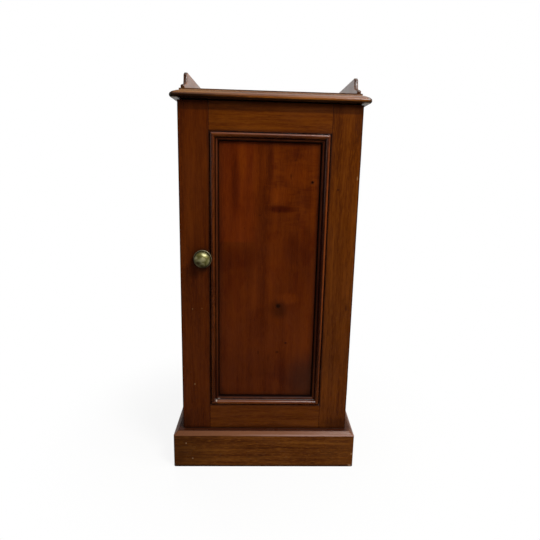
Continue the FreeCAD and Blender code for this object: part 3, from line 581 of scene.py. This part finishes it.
# %% [markdown]
# The door is French polished mahogany throughout. Plain wood makes the stiles and rails a quiet dark
# frame, the right stile paler than the left, which is painted light from the right. Broad soft bands
# give the panel depth. The bead is waxed over its polish and draws a thin line of light, and its
# level strips are paler than the upright ones, which is painted light on the bottom strip that faces
# up. Past the bead no cloth ever reached, so that side is dull.

# %% The woods of the door
stile_wood = mahogany("mahogany_grain_upright", Z, ("#341102", "#441902", "#512203"), marks=frame_marks)
# Paler shades for the right stile: painted light from the right.
right_stile_painted_lighter = mahogany("mahogany_grain_upright_painted_lighter", Z, ("#3e1902", "#502404", "#602f06"),
                           marks=frame_marks)
rail_wood = mahogany("mahogany_grain_across", X, ("#441c03", "#532604", "#613006"), band=8,
                     marks=frame_marks)
panel_wood = mahogany("mahogany_figured_panel", Z, ("#4b1f02", "#5a2904", "#6a3304"), band=26, cloud=0.25,
                      pores=0.35, streaks=0.15, marks=panel_marks)
bead_shades = ("#3c1603", "#4c2004", "#5a2b07")
bead_wood = mahogany("mahogany_polished_bead", Z, bead_shades, cloud=0.2, gloss=0.2, sheen=0.8,
                     marks=bead_grime_and_shade)
# Paler shades for the level strips: painted light where the bottom strip faces up.
bead_across_wood = mahogany("mahogany_polished_bead_across", X, ("#4c1e05", "#602b07", "#703a0b"),
                            cloud=0.2, gloss=0.2, sheen=0.8, marks=bead_grime_and_shade)
inner_bead_wood = mahogany("mahogany_bead_dulled_inside", Z, bead_shades, gloss=0.4, sheen=0.12,
                           marks=bead_grime_and_shade)
print("mahogany materials:", len([m for m in bpy.data.materials if "mahogany_" in m.name]))

# %% [markdown]
# The knob is cast and turned brass that nobody polishes any more. Its dome has gone olive and
# brown, with painted highlights on the dome and on the rim's edge, and dirt has filled the groove
# behind it. Tarnish is a thin oxide, so part of the surface no longer mirrors like metal. The hinges
# are rolled brass, dull and even, and the screws blued steel with a soft grey glint. The hidden
# boards are planed pine, dry and honey brown with age, and the dowels turned beech, pale and plain.
# The shelf is mahogany that was only oiled, and stays matt.

# %% Recipes for metal and for bare wood
tarnish_rougher = 0.14
ring_size, weather_size = (9, 320), (60, 120)


def aged_metal(name, shades, rough, blot, metal=1.0, marks=None):
    material, tree, place = new_material(name)
    tarnish = grown(tree, place, Z, blot, blot, 4.0, twist=0.6)
    shade = add(tree, "ValToRGB", {"Fac": tarnish}, list(zip((0.36, 0.48, 0.62), shades)))
    if marks:
        shade = marks(tree, place, shade)
    roughness = add(tree, "MapRange", (tarnish, 0.35, 0.65, rough + tarnish_rougher, rough))
    shader = add(tree, "BsdfPrincipled", {"Base Color": shade, "Metallic": metal, "Roughness": roughness})
    add(tree, "OutputMaterial", {"Surface": shader})
    return material


def bare_wood(name, grain, shades, rough, marks=None):
    """Unpolished wood: early and late wood as soft bands, with a dull, dry surface."""
    material, tree, place = new_material(name)
    rings = grown(tree, place, grain, *ring_size, twist=0.3)
    shade = add(tree, "ValToRGB", {"Fac": rings}, list(zip((0.35, 0.5, 0.62), shades)))
    weathered = grown(tree, place, grain, *weather_size, shift=9.0)
    shade = stained(tree, shade, shades[0], 0.4, weathered, 0.4, 0.7)
    if marks:
        shade = marks(tree, place, shade)
    shader = add(tree, "BsdfPrincipled", {"Base Color": shade, "Roughness": rough,
                                          "Specular IOR Level": 0.3})
    add(tree, "OutputMaterial", {"Surface": shader})
    return material


# %% Where the knob is brown, and the base board polished
def knob_tarnish_and_highlights(tree, place, shade):
    def from_middle(right_by, up_by):
        return knob_middle[0] + right_by, knob_middle[1] + up_by

    browned = [(from_middle(0, -13), 34, 14, 0.7), (from_middle(-7, -6), 22, 14, 0.9)]
    # Painted highlights: the pale spots on the dome.
    rubbed = [(from_middle(2, 2), 18, 14, 0.6), (from_middle(-11, 5), 8, 9, 0.6)]
    shade = spotted(tree, place, shade, "#3c2c06", browned, 0.1)
    shade = spotted(tree, place, shade, "#c0b88c", rubbed, 0.1)
    out = from_spot(tree, place, knob_middle, knob_wide, knob_wide)
    # Dirt in the groove behind the dome, and a painted highlight on the rim's outer edge.
    return aged(tree, shade, ("#1c1608", 0.9, out, 0.80, 0.86), ("#6e6850", 1.0, out, 0.93, 0.97))


def front_polished(tree, place, shade):
    depth = add(tree, "SeparateXYZ", (place,)).outputs[Y]
    return stained(tree, shade, "#2a1206", 1.0, depth, door_high.y + 8 * MM, door_high.y + 6 * MM)


# %% Brass, steel, pine and beech
pine_shades = ("#6d4a26", "#8a6236", "#a57c49")
knob_brass = aged_metal("brass_turned_aged", ("#524e20", "#746e3a", "#98946c"), 0.43, 9, 0.6, knob_tarnish_and_highlights)
hinge_brass = aged_metal("brass_rolled_dull", ("#5a4a1c", "#86723a", "#a8945a"), 0.38, 12)
screw_steel = aged_metal("steel_blued_dull", ("#3a3835", "#57534e", "#7a756e"), 0.42, 5)
pine = {axis: bare_wood(f"pine_grain_{'xyz'[axis]}", axis, pine_shades, 0.7) for axis in (X, Y, Z)}
base_pine = bare_wood("pine_polished_at_the_front", X, pine_shades, 0.7, front_polished)
beech = bare_wood("beech_turned", Z, ("#a07a4c", "#b8935f", "#caa876"), 0.6)
inner_wood = mahogany("mahogany_inside_dull", Z, ("#4c2a12", "#66391b", "#7d4b28"), gloss=0.5, sheen=0.2)
print("metals and hidden woods ready")


# %% [markdown]
# Each finished piece gets what it is made of and the moving body that carries it, and the CAD nodes
# it stands for are hidden.

# %% Dress a piece
def dress(piece, material, body, slot, *nodes):
    piece.data.materials.clear()
    piece.data.materials.append(material)
    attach(piece, body)
    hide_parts(*nodes)


# %% [markdown]
# The stiles and rails are copies of their CAD nodes, because hinge recesses and the spindle's hole
# show once the door is open. Only their outer edges are eased. The left stile's foot, on the side
# that opens, has been knocked round.

# %% Stiles and rails
member_eased, foot_worn = 0.5 * MM, 4 * MM
left_foot = {(X, 0), (Z, 0)}
for node, wood in (("left_stile", stile_wood), ("right_stile", right_stile_painted_lighter),
                   ("top_rail", rail_wood), ("bottom_rail", rail_wood)):
    low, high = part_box(node)
    if wood is rail_wood:
        low.x = opening_low.x
        high.x = opening_high.x
    member = copied_node(node, node + "_eased")
    if node == "left_stile":
        ease(member, foot_worn, low, high, 4, left_foot)
    ease(member, member_eased, low, high)
    dress(member, wood, "door", "mahogany", node)
    print(member.name, len(member.data.polygons), "faces")

# %% [markdown]
# The panel is one flat board that sits loose in the frame's grooves, free to shrink. Its edges stay
# out of sight, so a cube at its real size is enough.

# %% The panel
panel_eased = 1.5 * MM
panel = plain_board("door_panel_figured", *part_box("door_panel"))
ease(panel, panel_eased)
dress(panel, panel_wood, "door", "mahogany", "door_panel")
print(panel.name, panel.dimensions)

# %% [markdown]
# The planted moulding is a separate strip pinned round the opening. From the frame inwards it has a
# fine lip, a dark quirk, a round bead that takes the light, a hollow, and a small inner fillet that
# slopes to the panel. It is drawn once as a section and pushed along the four sides, so that its
# mitres close exactly. The faces past the bead take the dull material.

# %% The moulding round the panel
bead_shares = [
    (0, 0, 0),
    (0, 0.76, 0),
    (0.05, 0.76, 0),
    (0.08, 0.64, 0.12),
    (0.17, 0.66, 0),
    (0.18, 0.8, -0.2),
    (0.39, 1, -0.2),
    (0.63, 0.74, 0.1),
    (0.76, 0.5, 0),
    (0.775, 0.57, 0),
    (0.86, 0.56, -0.12),
    (1, 0.3, 0),
    (1, 0, 0),
]
bead_inner_share = 0.7
bead_section = bowed(bead_shares, moulding_wide, moulding_tall)
opening = opening_high - opening_low
corner_low_right = Vector((opening_high.x, panel_face, opening_low.z))
corner_high_left = Vector((opening_low.x, panel_face, opening_high.z))
for side, start, along, inward, length, wood in (
        ("bottom", opening_low, right, up, opening.x, bead_across_wood),
        ("right", corner_low_right, up, -right, opening.z, bead_wood),
        ("top", opening_high, -right, -up, opening.x, bead_across_wood),
        ("left", corner_high_left, -up, right, opening.z, bead_wood)):
    strip = moulded_length(f"{side}_moulding_run", bead_section, start, along, inward, -back, length)
    dress(strip, wood, "door", "mahogany", f"{side}_moulding")
    strip.data.materials.append(inner_bead_wood)
    for face in strip.data.polygons:
        if (face.center - start).dot(inward) > moulding_wide * bead_inner_share:
            face.material_index = 1
print("moulding section points:", len(bead_section))

# %% [markdown]
# The plinth is coarser mahogany with open pores, and brooms have left it little shine. Dusting has
# worn its front slope pale, with a painted highlight along the slope's lower edge, most towards the
# right. Dirt and painted shade lie dark on the ledge, and painted shade darkens the line under the
# slope, the left end, the foot and the slopes of the side runs. Each stain is set by its height or
# by how far across it lies.

# %% The plinth's wood
plinth_low, plinth_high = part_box("plinth_front")
plinth_tall = plinth_high.z
ledge, slope_tall = 10 * MM, 8.5 * MM
plinth_scratches = [((-176.4, 59.3), 4, 5, 0.6), ((-162, 21.4), 5, 4, 0.6), ((200, 33), 4, 4, 0.9),
                    ((197.0, 4.0), 12, 6, 0.6)]
wear_and_highlight_size, wear_and_highlight_tall = (5, 30), 2 * MM


def plinth_wear(tree, place, shade):
    sides = add(tree, "SeparateXYZ", (place,)).outputs
    height, slope_low = sides[Z], plinth_tall - slope_tall
    # This noise makes both the pale wear and the painted highlight wander.
    rubbed = grown(tree, place, X, *wear_and_highlight_size, shift=31.0)
    wear_and_highlight_height = add(tree, "Math", (rubbed, wear_and_highlight_tall, height), operation="MULTIPLY_ADD")
    front_wear_side_shade = add(tree, "MapRange", (sides[Y], plinth_low.y + 8 * MM, plinth_low.y + 24 * MM, 0.9, 0.3))
    ledge_dirt_and_shade = add(tree, "MapRange", (sides[X], 184 * MM, 196 * MM, 0.9, 0.25))
    pale = add(tree, "MapRange", (sides[X], -80 * MM, 60 * MM, 0, 0.55))
    above_slope = add(tree, "Math", (height, slope_low), operation="GREATER_THAN")
    pale = add(tree, "Math", (above_slope, pale), operation="MULTIPLY")
    # Painted shade: the slope darker towards the left.
    dull = add(tree, "Math", (above_slope, 0.2), operation="MULTIPLY")
    front = add(tree, "Math", (above_slope, -0.45, 0.45), operation="MULTIPLY_ADD")
    # In order: painted shade under the slope; pale wear, faint on the side runs as painted shade; dirt and
    # painted shade on the ledge; painted shade to the left on the slope; a painted highlight low on the
    # slope; painted shade to the left on the front and near the floor.
    shade = aged(tree, shade,
        ("#2a1004", 0.5, height, slope_low - 1.6 * MM, slope_low - 0.6 * MM),
        ("#71472e", front_wear_side_shade, wear_and_highlight_height, slope_low + 0.4 * MM, slope_low + 1.8 * MM),
        ("#2e1006", ledge_dirt_and_shade, height, plinth_tall - 1.4 * MM, plinth_tall - 0.3 * MM),
        ("#3a1c0c", dull, sides[X], -60 * MM, -190 * MM),
        ("#98766a", pale, wear_and_highlight_height, slope_low + 4.2 * MM, slope_low + 2.2 * MM),
        ("#1c0c02", front, sides[X], -80 * MM, -200 * MM),
        ("#1c0902", 0.8, height, 8 * MM, 2 * MM))
    return spotted(tree, place, shade, "#a88564", plinth_scratches)


plinth_finish = {"shades": ("#401c04", "#562b08", "#6c3e10"), "band": 9, "pores": 0.7, "gloss": 0.24,
                 "sheen": 0.1, "marks": plinth_wear}
plinth_wood = mahogany("mahogany_plinth", X, **plinth_finish)
side_run_wood = mahogany("mahogany_grain_back", Y, **plinth_finish)
print("slope from", plinth_tall - slope_tall, "to", plinth_tall)

# %% [markdown]
# The plinth is a deep board round the front and sides, mitred at the corners. Its top slopes up to
# a narrow ledge. Its lowest edge and its corners have been kicked round. All that lies in its
# section, so one outline in real sizes makes the three runs.

# %% The plinth
floor_worn = 1.5 * MM
corner_worn = 3.5 * MM
plinth_thick = plinth_high.y - plinth_low.y
plinth_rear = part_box("plinth_left")[1].y
plinth_section = bowed([
    (0, plinth_tall - slope_tall, 0),
    (0, floor_worn, 0.2),
    (floor_worn, 0, 0),
    (plinth_thick, 0, 0),
    (plinth_thick, plinth_tall, 0),
    (plinth_thick - ledge, plinth_tall, -0.04),
    (0, plinth_tall - slope_tall, 0),
], 1, 1)[:-1]
run_back = plinth_rear - plinth_low.y
corner_right = Vector((plinth_high.x, plinth_low.y, 0))
corner_left = Vector((plinth_low.x, plinth_rear, 0))
for name, start, along, inward, length, mitres, wood in (
        ("plinth_front", Vector((plinth_low.x, plinth_low.y, 0)), right, back,
         plinth_high.x - plinth_low.x, (1, 1), plinth_wood),
        ("plinth_right", corner_right, back, -right, run_back, (1, 0), side_run_wood),
        ("plinth_left", corner_left, -back, right, run_back, (0, 1), side_run_wood)):
    plinth = moulded_length(name + "_run", plinth_section, start, along, inward, up, length, mitres,
                            corner_worn)
    dress(plinth, wood, "cupboard", "mahogany", name)
print("plinth height", plinth_tall)

# %% [markdown]
# The top is one board with a thumb moulding on three edges: a small step under the flat, a slope
# that rounds over into the nose, and an undercut that keeps the carcass in shadow. It starts as the
# outline of its underside, a rectangle whose two front corners are worn round, and is pushed up
# ring by ring. Each ring is as wide as the moulding is at that height, so the corners mitre. Its
# polish is full and golden. Painted shade darkens the underside of the nose and the top of the
# step, a painted light lifts the step's lower part, the nose's left end is painted darker below and
# lighter above, and a painted reflection greys the underside near each end.

# %% The top's outline, ring by ring
thumb_shares = [
    (0, 1, -0.05),
    (0.5, 0.84, -0.08),
    (0.9, 0.6, -0.12),
    (1, 0.36, -0.14),
    (0.92, 0.12, -0.1),
    (0.72, 0, 0),
]
top_low, top_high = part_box("top_board")
top_thick = top_high.z - top_low.z
thumb_wide, thumb_step = 17 * MM, 3.5 * MM
thumb = bowed(thumb_shares, thumb_wide, top_thick - thumb_step, 6)
nose = max(point.x for point in thumb)
flat_half, flat_front = top_high.x - nose, top_low.y + nose
flat_corner, nose_corner_share = 2 * MM, 0.3
corner_steps = 5
right_angle_turns = [math.pi / 2 * step / corner_steps for step in range(corner_steps + 1)]


def top_ring(out, height):
    """The board's outline at a height, with its two front corners worn round."""
    radius = flat_corner + nose_corner_share * out
    half, front = flat_half + out - radius, flat_front - out + radius
    left_corner = [(-half - radius * math.cos(turn), front - radius * math.sin(turn))
                   for turn in right_angle_turns]
    right_corner = [(half + radius * math.sin(turn), front - radius * math.cos(turn))
                    for turn in right_angle_turns]
    corners = left_corner + right_corner + [(half + radius, top_high.y), (-half - radius, top_high.y)]
    return [Vector((x, y, top_low.z + height)) for x, y in corners]


top_rings = [top_ring(*point) for point in reversed(thumb)] + [top_ring(0, top_thick)]
print("the nose stands out", nose, "in", len(top_rings), "rings")

# %% The top's wood, and the top
def top_marks(tree, place, shade):
    across, depth, height = add(tree, "SeparateXYZ", (place,)).outputs
    away = add(tree, "Math", (across,), operation="ABSOLUTE")
    left_part = add(tree, "MapRange", (across, -60 * MM, -200 * MM, 0, 0.75))
    left_end = add(tree, "MapRange", (across, -40 * MM, -140 * MM, 0, 0.9))
    step_pale = add(tree, "Math", (height, top_high.z - thumb_step + 0.7 * MM, 1.0 * MM),
                    operation="COMPARE")
    step_dark = add(tree, "Math", (height, top_high.z - 1.0 * MM, 0.8 * MM), operation="COMPARE")
    near_front = add(tree, "MapRange", (depth, top_low.y + 40 * MM, top_low.y + 20 * MM, 0, 0.7))
    under = add(tree, "MapRange", (height, top_low.z + 2.2 * MM, top_low.z + 0.6 * MM, 0, 0.6))
    # In order: painted shade low at the left end, under the nose, a painted light high and painted shade
    # low at the left end, painted light then painted shade on the step, dark end grain at the ends, a grey
    # painted reflection under the ends.
    return aged(tree, shade,
        ("#341a06", left_part, height, top_low.z + 14 * MM, top_low.z + 8 * MM),
        ("#120602", 0.9, height, top_low.z + 5.2 * MM, top_low.z + 3.2 * MM),
        ("#7c4c08", left_end, height, top_low.z + 9 * MM, top_low.z + 12 * MM),
        ("#120602", left_end, height, top_low.z + 9.2 * MM, top_low.z + 6.8 * MM),
        ("#8e7460", 0.6, step_pale, 0.0, 1.0),
        ("#2a1408", 0.75, step_dark, 0.0, 1.0),
        ("#1e1a12", near_front, away, top_high.x - 14 * MM, top_high.x - 3 * MM),
        ("#a89c90", under, away, top_high.x - 20 * MM, top_high.x - 14 * MM))


top = swept("top_board_moulded", top_rings, 40)
top_wood = mahogany("mahogany_top", X, ("#4a2407", "#62340c", "#7a4818"), band=7, marks=top_marks)
dress(top, top_wood, "cupboard", "mahogany", "top_board")
print("top", top_low, top_high, "faces", len(top.data.polygons))

# %% [markdown]
# The gallery is three thin upstands. The side ones end at the front in a small scroll, sawn to a
# pattern and rubbed smooth. Their wood is paler and duller than the top's, and dark on the narrow
# edges, where end grain drinks the polish.

# %% The gallery
scroll_shares = [
    (0, 0, 0),
    (0, 0.19, 0),
    (0.3, 0.27, 0.02),
    (0.72, 0.4, 0.06),
    (0.84, 0.85, -0.15),
    (1.15, 1, 0),
]
scroll_long, scroll_rubbed, back_eased = 46 * MM, 2.4 * MM, 1.2 * MM
gallery_middle = (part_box("gallery_right")[0].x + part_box("gallery_right")[1].x) / 2


def end_grain_dark(tree, place, shade):
    across = add(tree, "Math", (add(tree, "SeparateXYZ", (place,)).outputs[X],), operation="ABSOLUTE")
    away = add(tree, "Math", (across, gallery_middle), operation="SUBTRACT")
    away = add(tree, "Math", (away,), operation="ABSOLUTE")
    return stained(tree, shade, "#200e06", 0.8, away, 3.6 * MM, 2.6 * MM)


gallery_wood = mahogany("mahogany_gallery", Y, ("#5a3014", "#70421e", "#865228"), band=8, gloss=0.3,
                        marks=end_grain_dark)
for side in ("left", "right"):
    low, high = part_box("gallery_" + side)
    tall = high.z - low.z
    outline = fitted(scroll_shares, scroll_long, tall) + [Vector((high.y - low.y, tall)),
                                                          Vector((high.y - low.y, 0))]
    faces = [[Vector((x, low.y + point.x, low.z + point.y)) for point in outline] for x in (low.x, high.x)]
    upstand = swept(f"gallery_{side}_scrolled", faces)
    rounded = upstand.modifiers.new("rubbed", "BEVEL")
    rounded.width = scroll_rubbed
    rounded.segments = 4
    rounded.limit_method = "ANGLE"
    rounded.angle_limit = math.radians(60)
    bpy.ops.object.modifier_apply(modifier="rubbed")
    smooth(upstand)
    dress(upstand, gallery_wood, "cupboard", "mahogany", "gallery_" + side)
upstand = plain_board("gallery_back_board", *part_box("gallery_back"))
ease(upstand, back_eased)
dress(upstand, rail_wood, "cupboard", "mahogany", "gallery_back")
print("gallery outline points:", len(outline))

# %% [markdown]
# The knob was turned on a lathe, so its outline is spun about its own axis: a low dome, a groove, a
# thin rim like a coin's edge, and a neck that passes through the rose on the door.

# %% Sizes of the knob, and turning an outline
knob_centre = Vector((knob_middle[0] * MM, door_face, knob_middle[1] * MM))
knob_proud = door_face - knob_low.y
dome_radius, rim_radius, neck_radius = 16 * MM, knob_wide * MM / 2, 7 * MM
rim_back, rim_thick, knob_back = 8.6 * MM, 2.2 * MM, door_face - knob_high.y
rose_play = 0.3 * MM
dome_shares = [
    (0, 1, -0.06),
    (0.56, 0.95, -0.1),
    (0.94, 0.78, -0.1),
    (1, 0.64, -0.12),
    (0.86, 0.47, 0),
]


def turned(name, outline, sides=64):
    """Spins an outline (radius, proud) about the knob's axis, which stands out of the door."""
    points = [knob_centre + right * radius - back * proud for radius, proud in outline]
    piece = ring(points, name, closed=False)
    edit(piece,
         lambda: bpy.ops.mesh.spin(steps=sides, angle=2 * math.pi, center=knob_centre, axis=(0, 1, 0)),
         lambda: bpy.ops.mesh.select_all(action="SELECT"),
         lambda: bpy.ops.mesh.remove_doubles(threshold=hair),
         lambda: bpy.ops.mesh.dissolve_degenerate(threshold=hair), face_outwards)
    smooth(piece, 32)
    return piece


# %% The knob and its rose
dome = fitted(dome_shares, dome_radius, knob_proud)
rim = bowed([(rim_radius - rim_thick / 2, rim_back + rim_thick, -0.5),
             (rim_radius - rim_thick / 2, rim_back, 0.0)], 1, 1, 8)
knob_outline = dome + [Vector((dome[-1].x, rim_back + rim_thick))] + rim + [
    Vector((neck_radius, rim_back)), Vector((neck_radius, knob_back)), Vector((0, knob_back))]
knob = turned("knob_turned", knob_outline)
dress(knob, knob_brass, "knob", "brass", "knob")
rose_low, rose_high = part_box("knob_rose")
rose_radius = (rose_high.x - rose_low.x) / 2
rose_thick = door_face - rose_low.y
rose_hole = neck_radius + rose_play
rose_outline = [(rose_hole, 0), (rose_radius, 0), (rose_radius, rose_thick * 0.5),
                (rose_radius * 0.95, rose_thick * 0.85), (rose_radius * 0.86, rose_thick),
                (rose_hole, rose_thick)]
rose = turned("knob_rose_turned", rose_outline, 48)
dress(rose, hinge_brass, "door", "brass", "knob_rose")
print("knob radius", rim_radius, "faces", len(knob.data.polygons))

# %% [markdown]
# The carcass boards keep the CAD's joinery and only get eased edges. The sides are polished
# mahogany in broad, quiet bands, and the shelf is the oiled kind. The back, the bottom and the
# shelf's bearers are pine, as no one was to see them. Only what shows as a line under the door, at
# the front of the bottom, was stained and polished.

# %% Carcass boards
board_eased = 0.6 * MM
side_wood = mahogany("mahogany_side", Z, ("#401a04", "#542806", "#683a0e"), band=20)
carcass = {
    "left_side": side_wood, "right_side": side_wood,
    "shelf": inner_wood, "base_board": base_pine, "front_top_rail": pine[X], "back_top_rail": pine[X],
    "plinth_front_rail": base_pine, "plinth_back_rail": pine[X],
    "left_shelf_bearer": pine[Y], "right_shelf_bearer": pine[Y],
    "back_board_1": pine[Z], "back_board_2": pine[Z], "back_board_3": pine[Z],
}
slots = {part["node"]: part["material_slot"] for part in frame["record"]["subparts"]}
for node, wood in carcass.items():
    board = copied_node(node, node + "_eased")
    ease(board, board_eased)
    dress(board, wood, "cupboard", slots[node], node)
print("carcass boards:", len(carcass))

# %% [markdown]
# Small fittings are right as the CAD made them: hinge leaves, pins, screws, latch and spindle only
# need their metal. Each takes the material of its slot in the record.

# %% Fittings that stay as they are
finish_of_slot = {"brass": hinge_brass, "steel": screw_steel, "pine": pine[Z], "dowel": beech,
                  "mahogany": inner_wood}
kept = 0
for node, thing in frame["nodes"].items():
    if not thing.hide_render:
        for slot in thing.material_slots:
            slot.material = finish_of_slot[slots[node]]
        kept += 1
print("nodes that keep their CAD shape:", kept)

# %% [markdown]
# The studio is a floor of matt, pale paper that fades to white away from the cupboard and takes its
# soft shadow. Polished wood mirrors what is around it, so the world that reflections see is a room:
# white above and brightest to the right, pale low down behind the cupboard, and dark in front, as
# with black cards beside the camera. Without the dark the polish would look milky. The camera
# itself sees plain white.

# %% Floor
floor_radius, floor_gap = 6, 0.2 * MM
shadow_from, white_from, paper_share = 0.25, 0.6, 0.88


def studio_floor():
    bpy.ops.object.select_all(action="DESELECT")
    bpy.ops.mesh.primitive_circle_add(vertices=96, radius=floor_radius, fill_type="NGON",
                                      location=(0, 0, -floor_gap))
    floor = bpy.context.object
    settle(floor, "studio_floor")
    floor.visible_glossy = False
    material, tree, place = new_material("floor_pale_paper")
    rays = add(tree, "LightPath").outputs
    seen = add(tree, "Math", (rays["Is Camera Ray"], rays["Is Transmission Ray"]), operation="MAXIMUM")
    away = add(tree, "VectorMath", (place,), operation="LENGTH")
    fade = add(tree, "MapRange", (away, shadow_from, white_from, paper_share),
               interpolation_type="SMOOTHSTEP")
    paper = add(tree, "BsdfDiffuse", {"Color": colour("#f0efec")})
    white = add(tree, "Emission", {"Color": colour("#ffffff"), "Strength": 1.0})
    lit = add(tree, "MixShader", (fade, paper, white))
    shown = add(tree, "MixShader", (seen, paper, lit))
    add(tree, "OutputMaterial", {"Surface": shown})
    floor.data.materials.append(material)


studio_floor()
print("floor radius", floor_radius, "m")

# %% Surroundings
ambient, above_strength, behind_strength, least_behind = 0.22, 2.6, 1.0, 0.2
pale_heights = ((0.45, 0.2), (-0.1, 0.0))  # behind clears between them, from above and from below


def studio_world():
    world = bpy.data.worlds.new("studio")
    bpy.context.scene.world = world
    world.use_nodes = True
    tree = world.node_tree
    tree.nodes.clear()
    rays = add(tree, "LightPath").outputs
    way = add(tree, "SeparateXYZ", (add(tree, "TexCoord").outputs["Generated"],)).outputs
    above = add(tree, "MapRange", (way[Z], 0.3, 0.9, 0, above_strength), interpolation_type="SMOOTHSTEP")
    window = add(tree, "MapRange", (way[X], -0.3, 0.3, 0.02))
    above = add(tree, "Math", (above, window), operation="MULTIPLY")
    behind = add(tree, "MapRange", (way[Y], 0.1, 0.6, 0, behind_strength), interpolation_type="SMOOTHSTEP")
    for dim, clear in pale_heights:
        level = add(tree, "MapRange", (way[Z], dim, clear, least_behind))
        behind = add(tree, "Math", (behind, level), operation="MULTIPLY")
    mirrored = add(tree, "Math", (above, behind), operation="MAXIMUM")
    mirror_ray = add(tree, "Math", (rays["Is Glossy Ray"], rays["Is Transmission Ray"]),
                     operation="MAXIMUM")
    strength = add(tree, "Mix", {"Factor": mirror_ray, "A": ambient, "B": mirrored}, data_type="FLOAT")
    strength = add(tree, "Mix", {"Factor": rays["Is Camera Ray"], "A": strength, "B": 1.0},
                   data_type="FLOAT")
    sky = add(tree, "Background", {"Color": colour("#ffffff"), "Strength": strength})
    add(tree, "OutputWorld", {"Surface": sky})


studio_world()
print("the polish mirrors up to", above_strength, "times white")

# %% [markdown]
# Soft boxes light it. The key stands high at the front, to the right, and is small enough to draw
# the highlight on the knob and the bead. A wide one overhead lights what faces up: the nose of the
# top, the plinth's slope and the bottom moulding. Two dim ones fill the sides. One lights the back
# and is kept out of reflections, where it would glare off the top.

# %% Lamps
lamps_aim = Vector((0, -0.1, 0.5))


def soft_box(name, place, wide, tall, power, mirrored=True):
    lamp = bpy.data.lights.new(name, "AREA")
    lamp.shape = "RECTANGLE"
    lamp.size = wide
    lamp.size_y = tall
    lamp.energy = power
    holder = bpy.data.objects.new(name, lamp)
    bpy.context.scene.collection.objects.link(holder)
    holder.location = place
    holder.rotation_euler = (lamps_aim - Vector(place)).to_track_quat("-Z", "Y").to_euler()
    holder.visible_glossy = mirrored


soft_box("key_soft_box", (0.65, -1.05, 1.6), 0.5, 0.5, 24)
soft_box("overhead_soft_box", (0.7, -0.7, 2.3), 1.0, 0.8, 9)
soft_box("left_soft_box", (-1.7, -0.7, 1.0), 0.7, 1.2, 2)
soft_box("right_soft_box", (1.5, -0.35, 1.6), 0.5, 0.5, 6)
soft_box("rear_soft_box", (-0.6, 2.0, 1.7), 1.4, 1.0, 20, mirrored=False)
print("soft boxes:", len(bpy.data.lights))

# %% [markdown]
# The camera stands where the photographer stood: in front of the middle, a little below the top,
# turned a shade to the right, looking down and not quite level. These values were solved from the
# straight edges of the cupboard in the photograph, and the sideways shift is how that was cropped.

# %% Camera
photo_side = 540
focal_pixels = 479.3
centre_pixel_x = 282.2
camera_place = (-0.0116, -1.1653, 0.6809)
turn_left, look_down, lean = -0.0423, 0.2189, 0.0272
lens = bpy.data.cameras.new("photo_camera")
lens.sensor_width = 36
lens.lens = focal_pixels / photo_side * lens.sensor_width
lens.shift_x = -(centre_pixel_x - photo_side / 2) / photo_side
camera = bpy.data.objects.new("photo_camera", lens)
bpy.context.scene.collection.objects.link(camera)
turned_to = (Matrix.Rotation(turn_left, 4, "Z") @ Matrix.Rotation(math.pi / 2 - look_down, 4, "X")
             @ Matrix.Rotation(lean, 4, "Z"))
camera.matrix_world = Matrix.Translation(camera_place) @ turned_to
bpy.context.scene.camera = camera
bpy.context.scene.view_settings.view_transform = "Standard"
print("lens", round(lens.lens, 2), "mm")
